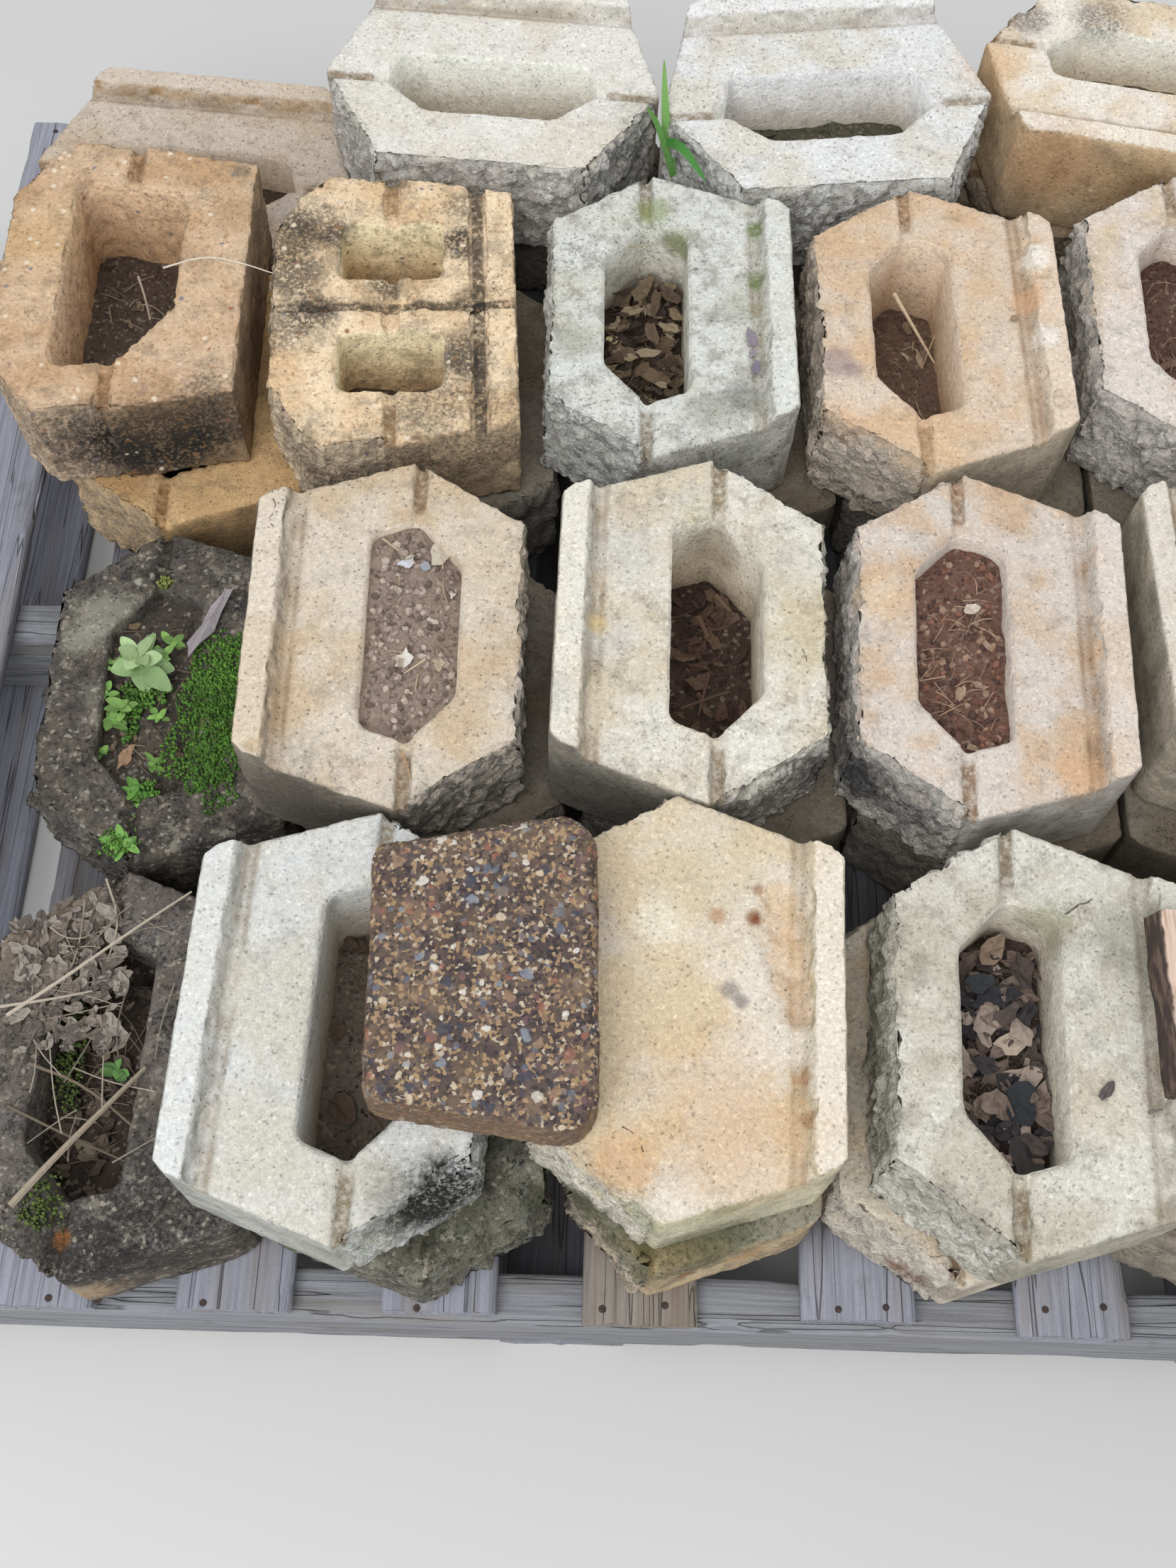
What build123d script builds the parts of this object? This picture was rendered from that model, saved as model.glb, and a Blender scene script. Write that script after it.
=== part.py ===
"""A timber pallet with two courses of used split-face garden wall blocks.

Millimetres, +Z up. The origin is the centre of the pallet's underside, +X runs along
the bearers and +Y away from the front edge. The blocks were split from a wide pair, so
each has a broken front, two broken wings that fall back to its widest line, smooth
flanks that taper to the rear, an open core and a raised lip along the rear edge.
"""
import os

from build123d import *

# Pallet
pallet_length = 1165.0
pallet_depth = 1165.0
deck_board_count = 8
deck_board_width = 84.0
deck_board_thickness = 18.0
bearer_width = 38.0
bearer_height = 90.0
bottom_board_width = 98.0
bottom_board_thickness = 18.0
deck_board_drift = (0, 5, -7, -13, -22, -17, -14, 0)
front_end_short = (0, 0, 2, 5, 0, 8, 1, 0)
bearer_wane = 6.0

# Wall block, measured from its widest line
block_height = 95.0
front_depth = 86.0
rear_depth = 122.0
half_front = 95.5
half_widest = 150.0
half_rear = 112.5
rear_corner = 9.0
side_notch_width = 10.0
side_notch_depth = 4.0
core_front = 34.0
core_rear = 35.0
core_half_front = 57.0
core_half_widest = 95.0
core_half_rear = 83.0
core_radius = 11.0
split_groove_width = 9.0
split_groove_depth = 6.0
lip_width = 22.0
lip_height = 12.0
lip_slope = 6.0
lip_gutter_width = 7.0
lip_gutter_depth = 2.0
broken_front_loss = 26.0
deep_front_gain = 13.0
deep_rear_gain = 11.0

# Older block, of coarser tan concrete, with blunt wings and no raised lip
old_front_depth = 104.0
old_rear_depth = 104.0
old_half_front = 82.0
old_half_shoulder = 126.0
old_half_wing = 150.0
old_half_widest = 143.0
old_half_rear = 123.0
old_shoulder_setback = 24.0
old_wing_setback = 50.0
old_core_front = 46.0
old_core_rear = 46.0
old_core_half_front = 100.0
old_core_half_rear = 83.0
old_core_radius = 13.0
old_core_slump_x = 38.0
old_core_slump_y = 48.0
old_cell_depth = 84.0
old_cell_width = 58.0
old_cell_spacing = 116.0
old_cell_radius = 9.0
old_groove_width = 9.0
old_groove_depth = 7.0
old_lip_line = 32.0

# Loose pieces lying on the load
paver_width = 150.0
paver_short_side = 172.0
paver_long_side = 224.0
paver_thickness = 50.0
paver_short_radius = 14.0
paver_long_radius = 27.0
paver_bevel = 4.0
paver_shift_x = -20.0
paver_shift_y = 31.0
paver_turn = 1.9
offcut_width = 100.0
offcut_length = 125.0
offcut_thickness = 22.0
offcut_wane = 12.0
offcut_past_lip = 13.0
offcut_shift_y = 30.0

# How the load stands on the pallet
load_edge_x = 154.0
load_edge_y = 5.5
row_gap = 0.0
turned_row_gap = 6.0
row_start = {"lower": (0.0, -1.0, -18.0, -100.0), "upper": (168.0, 177.0, -70.0, 179.0)}

# Levels
deck_underside = bottom_board_thickness + bearer_height
deck_top = deck_underside + deck_board_thickness
lower_top = deck_top + block_height
upper_top = lower_top + block_height

old_depth = old_front_depth + old_rear_depth
load_left = -pallet_length / 2 + load_edge_x
load_front = -pallet_depth / 2 + load_edge_y

nodes = {}
places = {}


def keep(name, solid):
    solid.label = name
    nodes[name] = solid


def board(length_x, length_y, thickness, x, y, z):
    return Pos(x, y, z) * Box(length_x, length_y, thickness, align=(Align.CENTER, Align.CENTER, Align.MIN))


def make_pallet():
    """Three bearers on edge along X, boards across them above and below."""
    pitch = (pallet_length - deck_board_width) / (deck_board_count - 1)
    for index in range(deck_board_count):
        short = front_end_short[index]
        x = -pallet_length / 2 + deck_board_width / 2 + index * pitch + deck_board_drift[index]
        keep(f"deck_board_{index + 1}", board(deck_board_width, pallet_depth - short,
                                              deck_board_thickness, x, short / 2, deck_underside))
    bearer_y = (pallet_depth - bearer_width) / 2
    for name, y in (("front", -bearer_y), ("middle", 0.0), ("rear", bearer_y)):
        bearer = board(pallet_length, bearer_width, bearer_height, 0, y, bottom_board_thickness)
        if name != "middle":
            outer = bearer.edges().filter_by(Axis.X).sort_by(Axis.Z)[:2].sort_by(Axis.Y)
            bearer = chamfer(outer[0 if y < 0 else -1], bearer_wane)
        keep(f"bearer_{name}", bearer)
    bottom_x = (pallet_length - bottom_board_width) / 2
    for index, x in enumerate((-bottom_x, 0.0, bottom_x), start=1):
        keep(f"bottom_board_{index}", board(bottom_board_width, pallet_depth,
                                            bottom_board_thickness, x, 0, 0))


def mirrored_outline(half):
    """Closed outline from the points of its +Y half, listed from the front to the rear."""
    return make_face(Polyline(*half, *[(x, -y) for x, y in reversed(half)], close=True))


def rounded(face, radius):
    return fillet(face.vertices(), radius)


def split_groove(half_length, width, depth, top):
    """Straight channel along the widest line, where the pair would be knocked apart."""
    return Pos(0, 0, top) * Box(width, 2 * half_length, 2 * depth)


def wall_block(front=front_depth, rear=rear_depth, core_back=core_rear, cored=True, lipped=True):
    """Block with its front towards +X, standing on z = 0."""
    notch_side = half_widest - side_notch_depth
    outline = mirrored_outline([
        (front, half_front), (side_notch_width / 2, half_widest), (0, notch_side),
        (-side_notch_width / 2, half_widest), (-rear + rear_corner, half_rear),
        (-rear, half_rear - rear_corner)])
    body = extrude(outline, block_height + (lip_height if lipped else 0))
    if lipped:
        foot = -rear + lip_width + lip_slope
        clear = front + 1
        above = block_height + lip_height + 1
        floor = block_height - lip_gutter_depth
        pressed = Plane.XZ * make_face(Polyline(
            (-rear + lip_width, above), (-rear + lip_width, block_height + lip_height),
            (foot, block_height), (foot, floor), (foot + lip_gutter_width, floor),
            (foot + lip_gutter_width, block_height), (clear, block_height), (clear, above), close=True))
        body -= extrude(pressed, half_widest + 1, both=True)
    if cored:
        core = rounded(mirrored_outline([
            (core_front, core_half_front), (0, core_half_widest), (-core_back, core_half_rear)]), core_radius)
        body -= extrude(core, block_height + lip_height)
        body -= split_groove(half_widest, split_groove_width, split_groove_depth, block_height)
    return body


def old_block(cells):
    """Older block with one wide core or two square cells; its front faces +X.

    Concrete that slumped in the mould fills one rear corner of the wide core.
    """
    notch = side_notch_depth
    outline = mirrored_outline([
        (old_front_depth, old_half_front), (old_front_depth - old_shoulder_setback, old_half_shoulder),
        (old_front_depth - old_wing_setback, old_half_wing), (side_notch_width / 2, old_half_widest),
        (0, old_half_widest - notch), (-side_notch_width / 2, old_half_widest),
        (-old_rear_depth, old_half_rear)])
    body = extrude(outline, block_height)
    if cells == 1:
        taper = (old_core_half_front - old_core_half_rear) / (old_core_front + old_core_rear)
        core = rounded(make_face(Polyline(
            (old_core_front, -old_core_half_front), (old_core_front, old_core_half_front),
            (-old_core_rear + old_core_slump_x, old_core_half_rear + taper * old_core_slump_x),
            (-old_core_rear, old_core_half_rear - old_core_slump_y),
            (-old_core_rear, -old_core_half_rear), close=True)), old_core_radius)
        body -= extrude(core, block_height)
    else:
        cell = RectangleRounded(old_cell_depth, old_cell_width, old_cell_radius)
        for side in (-1, 1):
            body -= extrude(Pos(0, side * old_cell_spacing / 2) * cell, block_height)
        across = Box(2 * old_depth, old_groove_width, 2 * old_groove_depth)
        along = Box(old_groove_width, 2 * old_half_wing, 2 * old_groove_depth)
        body -= Pos(0, 0, block_height) * across
        body -= Pos(-old_rear_depth + old_lip_line, 0, block_height) * along
    body -= split_groove(old_half_wing, split_groove_width, split_groove_depth, block_height)
    return body


standard = wall_block()
plain_top = wall_block(lipped=False)
broken_front = wall_block(front=front_depth - broken_front_loss, lipped=False)
solid_block = wall_block(cored=False)
deep_front = wall_block(front=front_depth + deep_front_gain)
deep_block = wall_block(front_depth + deep_front_gain, rear_depth + deep_rear_gain, core_rear + deep_rear_gain)
wide_core = old_block(cells=1)
two_cell = old_block(cells=2)
reach = {
    "standard": (standard, front_depth, rear_depth),
    "plain": (plain_top, front_depth, rear_depth),
    "broken": (broken_front, front_depth - broken_front_loss, rear_depth),
    "solid": (solid_block, front_depth, rear_depth),
    "deep_front": (deep_front, front_depth + deep_front_gain, rear_depth),
    "deep": (deep_block, front_depth + deep_front_gain, rear_depth + deep_rear_gain),
    "wide": (wide_core, old_front_depth, old_rear_depth),
    "two": (two_cell, old_front_depth, old_rear_depth),
}


def row_line(row):
    """Y of the widest lines in a row whose blocks lie with their long side along Y."""
    return load_front + half_widest + row * (2 * half_widest + row_gap)


turned_line = load_front + 3 * (2 * half_widest + row_gap) + turned_row_gap + front_depth


def lay(name, kind, x, y, z, angle):
    places[name] = (x, y)
    keep(name, Pos(x, y, z) * Rot(0, 0, angle) * reach[kind][0])


def lay_row(course, row, z, first, blocks):
    """Blocks side by side from the left, each with its gap, nudge in Y and turn.

    A block marked "<" has its front to the left, and one marked ">" to the right.
    """
    x = load_left + row_start[course][row]
    for index, (kind, facing, gap, nudge, turn) in enumerate(blocks, start=first):
        _, front, rear = reach[kind]
        left, right = (front, rear) if facing == "<" else (rear, front)
        x += gap + left
        angle = turn + (180 if facing == "<" else 0)
        lay(f"{course}_row{row + 1}_block{index}", kind, x, row_line(row) + nudge, z, angle)
        x += right


def lay_turned_row(course, z, first, blocks):
    """Rear row, with the long sides along X; "v" has its front to the front of the pallet.

    Neighbours whose widest lines are staggered nest, so a gap can be below zero.
    """
    x = load_left + row_start[course][-1]
    for index, (kind, facing, gap, nudge, turn) in enumerate(blocks, start=first):
        x += gap + half_widest
        angle = turn + (-90 if facing == "v" else 90)
        lay(f"{course}_row4_block{index}", kind, x, turned_line + nudge, z, angle)
        x += half_widest


def make_lower_course():
    z = deck_top
    lay_row("lower", 0, z, 1, [
        ("plain", "<", 0, -2, -0.7), ("plain", ">", 4, 3, 0), ("broken", "<", 3, 13, 0),
        ("plain", "<", 4, 14, 0), ("plain", ">", 9, 11, 0)])
    lay_row("lower", 1, z, 1, [
        ("plain", "<", 0, 0, 2), ("plain", ">", 6, 5, 0), ("plain", "<", 5, 8, 0),
        ("plain", "<", 4, 8, 0), ("plain", ">", 4, 8, 0)])
    lay_row("lower", 2, z, 1, [
        ("plain", "<", 0, 3, 1.5), ("plain", ">", 6, 5, 0), ("plain", "<", 26, 9, 0),
        ("plain", "<", 4, 9, 0), ("plain", ">", 5, 9, 0)])
    lay_turned_row("lower", z, 1, [
        ("standard", "v", 0, 1, -4.2), ("plain", "v", -11, 46, 0), ("plain", "v", -9, 9, 0),
        ("plain", "v", -10, 49, 0)])


def make_upper_course():
    """The two left-hand places of the first two rows and the rear left corner are empty."""
    z = lower_top
    lay_row("upper", 0, z, 2, [
        ("standard", ">", 0, 10, -1.6), ("solid", "<", 24, 31, -1.7), ("standard", "<", 26, 15, -2.5),
        ("standard", ">", 5, 12, 0)])
    lay_row("upper", 1, z, 2, [
        ("standard", ">", 0, 10, 1.1), ("standard", ">", 19, 23, -0.8), ("standard", "<", 11, 18, -2.2),
        ("standard", ">", 23, 45, 0.6)])
    lay_row("upper", 2, z, 1, [
        ("wide", "<", 0, 41, 1.8), ("two", "<", 17, 17, 4.0), ("standard", "<", 20, 22, 0.7),
        ("standard", "<", 14, 18, 0.9), ("standard", "<", 21, 47, -1)])
    lay_turned_row("upper", z, 2, [
        ("deep_front", "v", 0, 29, -3.1), ("deep", "v", 1, 19, 7.6), ("standard", "^", -5, 93, -9.5)])


def make_paver():
    """Trapezoid cobble across the second and third blocks of the front row."""
    plan = make_face(Polyline(
        (-paver_width / 2, -paver_short_side / 2), (paver_width / 2, -paver_long_side / 2),
        (paver_width / 2, paver_long_side / 2), (-paver_width / 2, paver_short_side / 2), close=True))
    corners = plan.vertices().sort_by(Axis.X)
    plan = fillet(corners[2:], paver_long_radius)
    plan = fillet(plan.vertices().sort_by(Axis.X)[:2], paver_short_radius)
    paver = extrude(plan, paver_thickness)
    paver = chamfer(paver.faces().sort_by(Axis.Z)[-1].edges(), paver_bevel)
    x = (places["upper_row1_block2"][0] + places["upper_row1_block3"][0]) / 2 + paver_shift_x
    keep("cobble_paver", Pos(x, row_line(0) + paver_shift_y, upper_top) * Rot(0, 0, paver_turn) * paver)


def make_offcut():
    """Sawn timber offcut with a waney edge, lying on the lips of two front row blocks."""
    section = Plane.XZ * make_face(Polyline(
        (0, 0), (offcut_wane / 6, offcut_wane), (offcut_wane, offcut_thickness),
        (offcut_width, offcut_thickness), (offcut_width, 0), close=True))
    offcut = extrude(section, offcut_length / 2, both=True)
    left = places["upper_row1_block4"][0] + rear_depth - lip_width - offcut_past_lip
    keep("timber_offcut", Pos(left, row_line(0) + offcut_shift_y, upper_top + lip_height) * offcut)


make_pallet()
make_lower_course()
make_upper_course()
make_paver()
make_offcut()

os.makedirs("parts", exist_ok=True)
for name, solid in nodes.items():
    export_step(solid, f"parts/{name}.step")
print(len(nodes), "nodes")
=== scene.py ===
"""Looks of the loaded pallet: worn concrete wall blocks in two courses, a cobble paver, a timber offcut,
and the soil, litter and growth in the blocks' cores."""
import math

import bpy
import numpy as np
from mathutils import Matrix, Vector


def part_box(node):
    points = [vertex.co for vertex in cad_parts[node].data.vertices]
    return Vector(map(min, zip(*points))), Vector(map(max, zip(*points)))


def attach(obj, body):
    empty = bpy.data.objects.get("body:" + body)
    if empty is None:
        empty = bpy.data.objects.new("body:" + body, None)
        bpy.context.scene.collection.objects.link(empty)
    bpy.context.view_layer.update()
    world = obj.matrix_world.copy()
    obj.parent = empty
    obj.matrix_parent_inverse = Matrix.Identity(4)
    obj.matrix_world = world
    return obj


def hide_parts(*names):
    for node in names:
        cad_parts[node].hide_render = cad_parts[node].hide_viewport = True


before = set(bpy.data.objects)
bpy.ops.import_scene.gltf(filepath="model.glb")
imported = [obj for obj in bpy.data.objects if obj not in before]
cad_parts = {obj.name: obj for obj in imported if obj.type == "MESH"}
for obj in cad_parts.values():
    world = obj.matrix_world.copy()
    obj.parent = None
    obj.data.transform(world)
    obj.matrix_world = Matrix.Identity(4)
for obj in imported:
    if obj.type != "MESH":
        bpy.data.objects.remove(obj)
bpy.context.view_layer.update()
collection = bpy.context.scene.collection

# Camera, held in the hand above the front edge and tipped forward, as in the photograph.
# Its place and angles were fitted to the tops of the blocks, for a picture of 1659 by 2212 pixels.
image_width, image_height, focal_pixels = 1659, 2212, 2300
camera_place = (-0.011, -0.742, 1.353)
tilt, roll, heading = math.radians(25.76), math.radians(3.56), math.radians(-1.7)
right = Vector((1, 0, 0))
ahead = Vector((0, math.sin(tilt), -math.cos(tilt)))
down = ahead.cross(right)
side = math.cos(roll) * right - math.sin(roll) * down
down = math.sin(roll) * right + math.cos(roll) * down
turn = Matrix.Rotation(heading, 3, "Z")
camera = bpy.data.objects.new("camera", bpy.data.cameras.new("camera"))
camera.data.sensor_fit, camera.data.sensor_width = "HORIZONTAL", 36.0
camera.data.lens = camera.data.sensor_width * focal_pixels / image_width
axes = Matrix((turn @ side, -(turn @ down), -(turn @ ahead))).transposed()
camera.matrix_world = Matrix.Translation(camera_place) @ axes.to_4x4()
collection.objects.link(camera)
bpy.context.scene.camera = camera

# Even sky light, with a wide soft lamp above the front edge and a weaker one behind.
# They are nearly white and at a plain level, so that a colour renders about as it is written.
sky_colour, sky_strength = (0.93, 0.96, 1.0, 1), 0.72
lamp_colour, lamp_width = (0.97, 0.98, 1.0), 2.2
lamps = ("front_lamp", (-0.7, -1.7, 2.3), 50.0), ("rear_lamp", (1.0, 1.9, 2.2), 18.0)
world = bpy.data.worlds.new("studio")
world.use_nodes = True
world.node_tree.nodes["Background"].inputs["Color"].default_value = sky_colour
world.node_tree.nodes["Background"].inputs["Strength"].default_value = sky_strength
bpy.context.scene.world = world
bpy.context.scene.view_settings.view_transform = "Standard"
for name, spot, power in lamps:
    lamp = bpy.data.objects.new(name, bpy.data.lights.new(name, "AREA"))
    lamp.data.energy, lamp.data.size, lamp.data.shape = power, lamp_width, "DISK"
    lamp.data.color = lamp_colour
    aim = Vector(spot).to_track_quat("Z", "Y").to_matrix()
    lamp.matrix_world = Matrix.Translation(spot) @ aim.to_4x4()
    collection.objects.link(lamp)

# Pale, matt floor that the pallet stands on, wider than any view.
# It isn't part of the object.
floor_reach, floor_colour, floor_roughness = 6, (0.62, 0.61, 0.59, 1), 0.9
floor_mesh = bpy.data.meshes.new("floor")
floor_corners = [(x * floor_reach, y * floor_reach, 0) for x, y in ((-1, -1), (1, -1), (1, 1), (-1, 1))]
floor_mesh.from_pydata(floor_corners, [], [(0, 1, 2, 3)])
floor = bpy.data.objects.new("floor", floor_mesh)
collection.objects.link(floor)
floor_paint = bpy.data.materials.new("floor")
floor_paint.use_nodes = True
floor_bsdf = floor_paint.node_tree.nodes["Principled BSDF"]
floor_bsdf.inputs["Base Color"].default_value = floor_colour
floor_bsdf.inputs["Roughness"].default_value = floor_roughness
floor_mesh.materials.append(floor_paint)


# Pallet boards and bearers: sawn softwood, weathered to silver grey, with raised grain and drying cracks.
# Eight deck boards and three bottom boards are nailed across three bearers on edge.
# Each is drawn again over its solid as rings of points along its length, with rounded and frayed edges.
class Field:
    """A shader socket. + - * make Math nodes, or Vector Math nodes where a colour or vector takes part."""

    tree = None

    def __init__(self, socket):
        self.socket = socket

    @classmethod
    def node(cls, kind, inputs=None, output=0, **settings):
        made = cls.tree.nodes.new("ShaderNode" + kind)
        for name, value in settings.items():
            setattr(made, name, value)
        for name, value in (inputs or {}).items():
            if isinstance(value, Field):
                cls.tree.links.new(value.socket, made.inputs[name])
            else:
                made.inputs[name].default_value = value
        return cls(made.outputs[output])

    def maths(self, kind, *values):
        number = (int, float)
        plain = [v.socket.type == "VALUE" if isinstance(v, Field) else isinstance(v, number) for v in values]
        if all(plain):
            return Field.node("Math", dict(enumerate(values)), operation=kind)
        values = [(v,) * 3 if isinstance(v, number) else v for v in values]
        return Field.node("VectorMath", dict(enumerate(values)), operation=kind)

    def __add__(self, other):
        return self.maths("ADD", self, other)

    def __sub__(self, other):
        return self.maths("SUBTRACT", self, other)

    def __mul__(self, other):
        return self.maths("MULTIPLY", self, other)

    def __rsub__(self, other):
        return self.maths("SUBTRACT", other, self)

    def __abs__(self):
        return Field.node("Math", {0: self}, operation="ABSOLUTE")

    __radd__ = __add__
    __rmul__ = __mul__

    def step(self, low, high):
        """Goes smoothly from 0 at low to 1 at high."""
        return Field.node("MapRange", {"Value": self, "From Min": low, "From Max": high},
                          interpolation_type="SMOOTHSTEP")

    def to(self, colour, factor):
        """This colour, going to the other one where the factor is 1."""
        return mixed(self, colour, factor)


def mixed(first, second, factor):
    return Field.node("Mix", {0: factor, 6: first, 7: second}, 2, data_type="RGBA")


def shade(*values):
    """Linear colour from red, green and blue as they look on a screen, 0 to 255."""
    return tuple(((v / 255 + 0.055) / 1.055) ** 2.4 for v in values) + (1.0,)


def paint(name, recipe):
    """Material whose base colour, roughness and bump height in metres come from the recipe."""
    material = bpy.data.materials.new(name)
    material.use_nodes = True
    Field.tree = material.node_tree
    bsdf = material.node_tree.nodes["Principled BSDF"]
    bsdf.inputs["Specular IOR Level"].default_value = 0.25
    colour, roughness, height = recipe()
    bsdf.inputs["Roughness"].default_value = roughness
    bump = Field.node("Bump", {"Strength": 1.0, "Distance": 1.0, "Height": height})
    material.node_tree.links.new(colour.socket, bsdf.inputs["Base Color"])
    material.node_tree.links.new(bump.socket, bsdf.inputs["Normal"])
    return material


def place(part="Object"):
    return Field.node("TexCoord", output=part)


def axis(vector, index):
    return Field.node("SeparateXYZ", {0: vector}, index)


def noise(size, detail=2.0, shift=0.0, stretch=(1, 1, 1), rough=0.55):
    where = place() * tuple(1 / s for s in stretch) + shift
    return Field.node("TexNoise", {"Vector": where, "Scale": 1 / size, "Detail": detail, "Roughness": rough})


def lumps(points, size, seed):
    """Smooth noise between -1 and 1 at an array of points, with lumps of about that size."""
    table = np.random.default_rng(seed).uniform(-1, 1, (32, 32, 32))
    spot = points / size
    cell = np.floor(spot).astype(int)
    part = spot - cell
    part = part * part * (3 - 2 * part)
    total = np.zeros(len(points))
    for corner in np.ndindex(2, 2, 2):
        weight = np.prod(np.where(corner, part, 1 - part), axis=1)
        total += weight * table[tuple(((cell + corner) % 32).T)]
    return total


def ramp(values, low, high):
    """Goes smoothly from 0 at low to 1 at high, for arrays."""
    t = np.clip((values - low) / (high - low), 0, 1)
    return t * t * (3 - 2 * t)


def weathered(way, light, dark, warm, shift):
    """Recipe for boards whose grain runs that way: silvered, darker between the grain, with drying cracks.

    Under the load, away from the front and left edges, they are painted darker: partly dirt washed down onto
    them, partly painted shade from the blocks above.
    """
    def recipe():
        far = [1.0, 1.0, 1.0]
        far[way] = 34.0
        line = noise(0.0030, 5, shift, far, 0.68)
        broad = noise(0.02, 3, shift + 2, [1 + 0.3 * (f - 1) for f in far])
        colour = mixed(shade(*light), shade(*dark), line.step(0.36, 0.72) * 0.7)
        colour = colour.to(shade(*warm), broad.step(0.48, 0.70) * 0.5)
        crack = 1 - abs(noise(0.0075, 2, shift + 5, [2.2 * f for f in far]) - 0.5).step(0.001, 0.009)
        colour = colour.to(shade(74, 68, 66), crack * 0.5)
        colour = colour.to(shade(104, 104, 92), noise(0.05, 4, shift + 7).step(0.62, 0.74) * 0.35)
        spot = place()
        # Painted shade and dirt: boards darker under the load, away from the front and left edges of the
        # deck.
        under_load_shade_and_dirt = axis(spot, 1).step(-0.545, -0.49) * axis(spot, 0).step(-0.49, -0.42)
        colour = colour.to(shade(66, 58, 50), under_load_shade_and_dirt * (0.45 + 0.7 * (broad - 0.2)))
        return colour * (0.84 + 0.32 * noise(0.0015, 2, shift)), 0.9, 0.0012 * line - 0.002 * crack
    return recipe


def band(start, beyond, n):
    """Faces between a ring of n points and the next ring."""
    return [(start + k, start + (k + 1) % n, beyond + (k + 1) % n, beyond + k) for k in range(n)]


def worn_timber(name, way, number):
    """Board with rounded, frayed edges, as rings round its length, closed by a cap at each end."""
    low, high = (np.array(c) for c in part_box(name))
    sides, size = [i for i in range(3) if i != way], high - low
    width, thick = size[sides[0]], size[sides[1]]
    radius, pitch, station_count, frayed = 0.003, 0.009, 100, 0.0030
    ring = []
    for u, v, run, du, dv in ((radius, 0, width, 1, 0), (width, radius, thick, 0, 1),
                              (width - radius, thick, width, -1, 0), (0, thick - radius, thick, 0, -1)):
        count = max(3, int(run / pitch))
        steps = (run - 2 * radius) * np.arange(count + 1) / count
        ring += [(u + du * step, v + dv * step) for step in steps]
    ring = np.array(ring)
    points = np.zeros((station_count, len(ring), 3))
    points[:, :, way] = (low[way] + np.linspace(0, size[way], station_count))[:, None]
    points[:, :, sides[0]] = low[sides[0]] + ring[:, 0]
    points[:, :, sides[1]] = low[sides[1]] + ring[:, 1]
    flat = points.reshape(-1, 3)
    middle, squeeze = (low + high) / 2, np.ones(3)
    squeeze[way] = 12
    wear = 0.0005 + 0.0005 * lumps(flat / squeeze, 0.008, number)
    wear += 0.0006 * lumps(flat / squeeze, 0.02, number + 1)
    corner = np.all([np.abs(flat[:, a] - middle[a]) > size[a] / 2 - radius - 0.001 for a in sides], axis=0)
    wear = np.maximum(wear, 0) + corner * frayed * ramp(lumps(flat, 0.03, number + 2), 0.1, 0.8)
    for a in sides:
        beside = np.abs(flat[:, a] - middle[a]) > size[a] / 2 - 0.0005
        flat[:, a] -= np.sign(flat[:, a] - middle[a]) * wear * (beside | corner)
    end = np.abs(flat[:, way] - middle[way]) > size[way] / 2 - 0.0001
    flat[:, way] -= end * np.sign(flat[:, way] - middle[way]) * 0.001 * (1 + lumps(flat, 0.006, number + 3))
    n = len(ring)
    faces = [quad for i in range(station_count - 1) for quad in band(i * n, (i + 1) * n, n)]
    faces += [tuple(range(n))[::-1], tuple((station_count - 1) * n + k for k in range(n))]
    if way == 1:
        faces = [f[::-1] for f in faces]
    mesh = bpy.data.meshes.new(name)
    mesh.from_pydata(flat.tolist(), [], faces)
    mesh.shade_smooth()
    mesh.set_sharp_from_angle(angle=math.radians(50))
    return mesh


board_tones = (158, 160, 170), (114, 115, 124), (142, 133, 125)
brown_board_tones = (152, 144, 136), (110, 100, 92), (136, 120, 100)
bearer_tones = (147, 149, 153), (103, 103, 107), (130, 121, 113)
timbers = [(f"deck_board_{i}", 1) for i in range(1, 9)] + [(f"bottom_board_{i}", 1) for i in range(1, 4)]
timbers += [(f"bearer_{spot}", 0) for spot in ("front", "middle", "rear")]
for number, (name, way) in enumerate(timbers):
    tones = brown_board_tones if name == "deck_board_5" else board_tones if way == 1 else bearer_tones
    timber = bpy.data.objects.new("worn_" + name, worn_timber(name, way, 50 + 5 * number))
    collection.objects.link(timber)
    timber.data.materials.append(paint("wood_" + name, weathered(way, *tones, 2.3 * number)))
    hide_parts(name)
    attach(timber, "root")
    "weathered_board" if way == 1 else "weathered_bearer"


# Nail heads: two where each board crosses a bearer, rusted dark and a little sunk.
# Those along the front edge stand at the pixels where the photograph shows them.
def seen(column, row, height):
    """Point at this height, in millimetres, that the photograph shows at this pixel; returned in metres."""
    ray = Vector((column - image_width / 2, image_height / 2 - row, -focal_pixels))
    ray = camera.matrix_world.to_3x3() @ ray
    eye = camera.matrix_world.translation
    return np.array(eye + ray * ((height / 1000 - eye.z) / ray.z))


def old_steel():
    colour = mixed(shade(58, 52, 52), shade(86, 66, 56), noise(0.002, 3).step(0.45, 0.65))
    return colour, 0.7, 0.0002 * noise(0.0008, 2)


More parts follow.
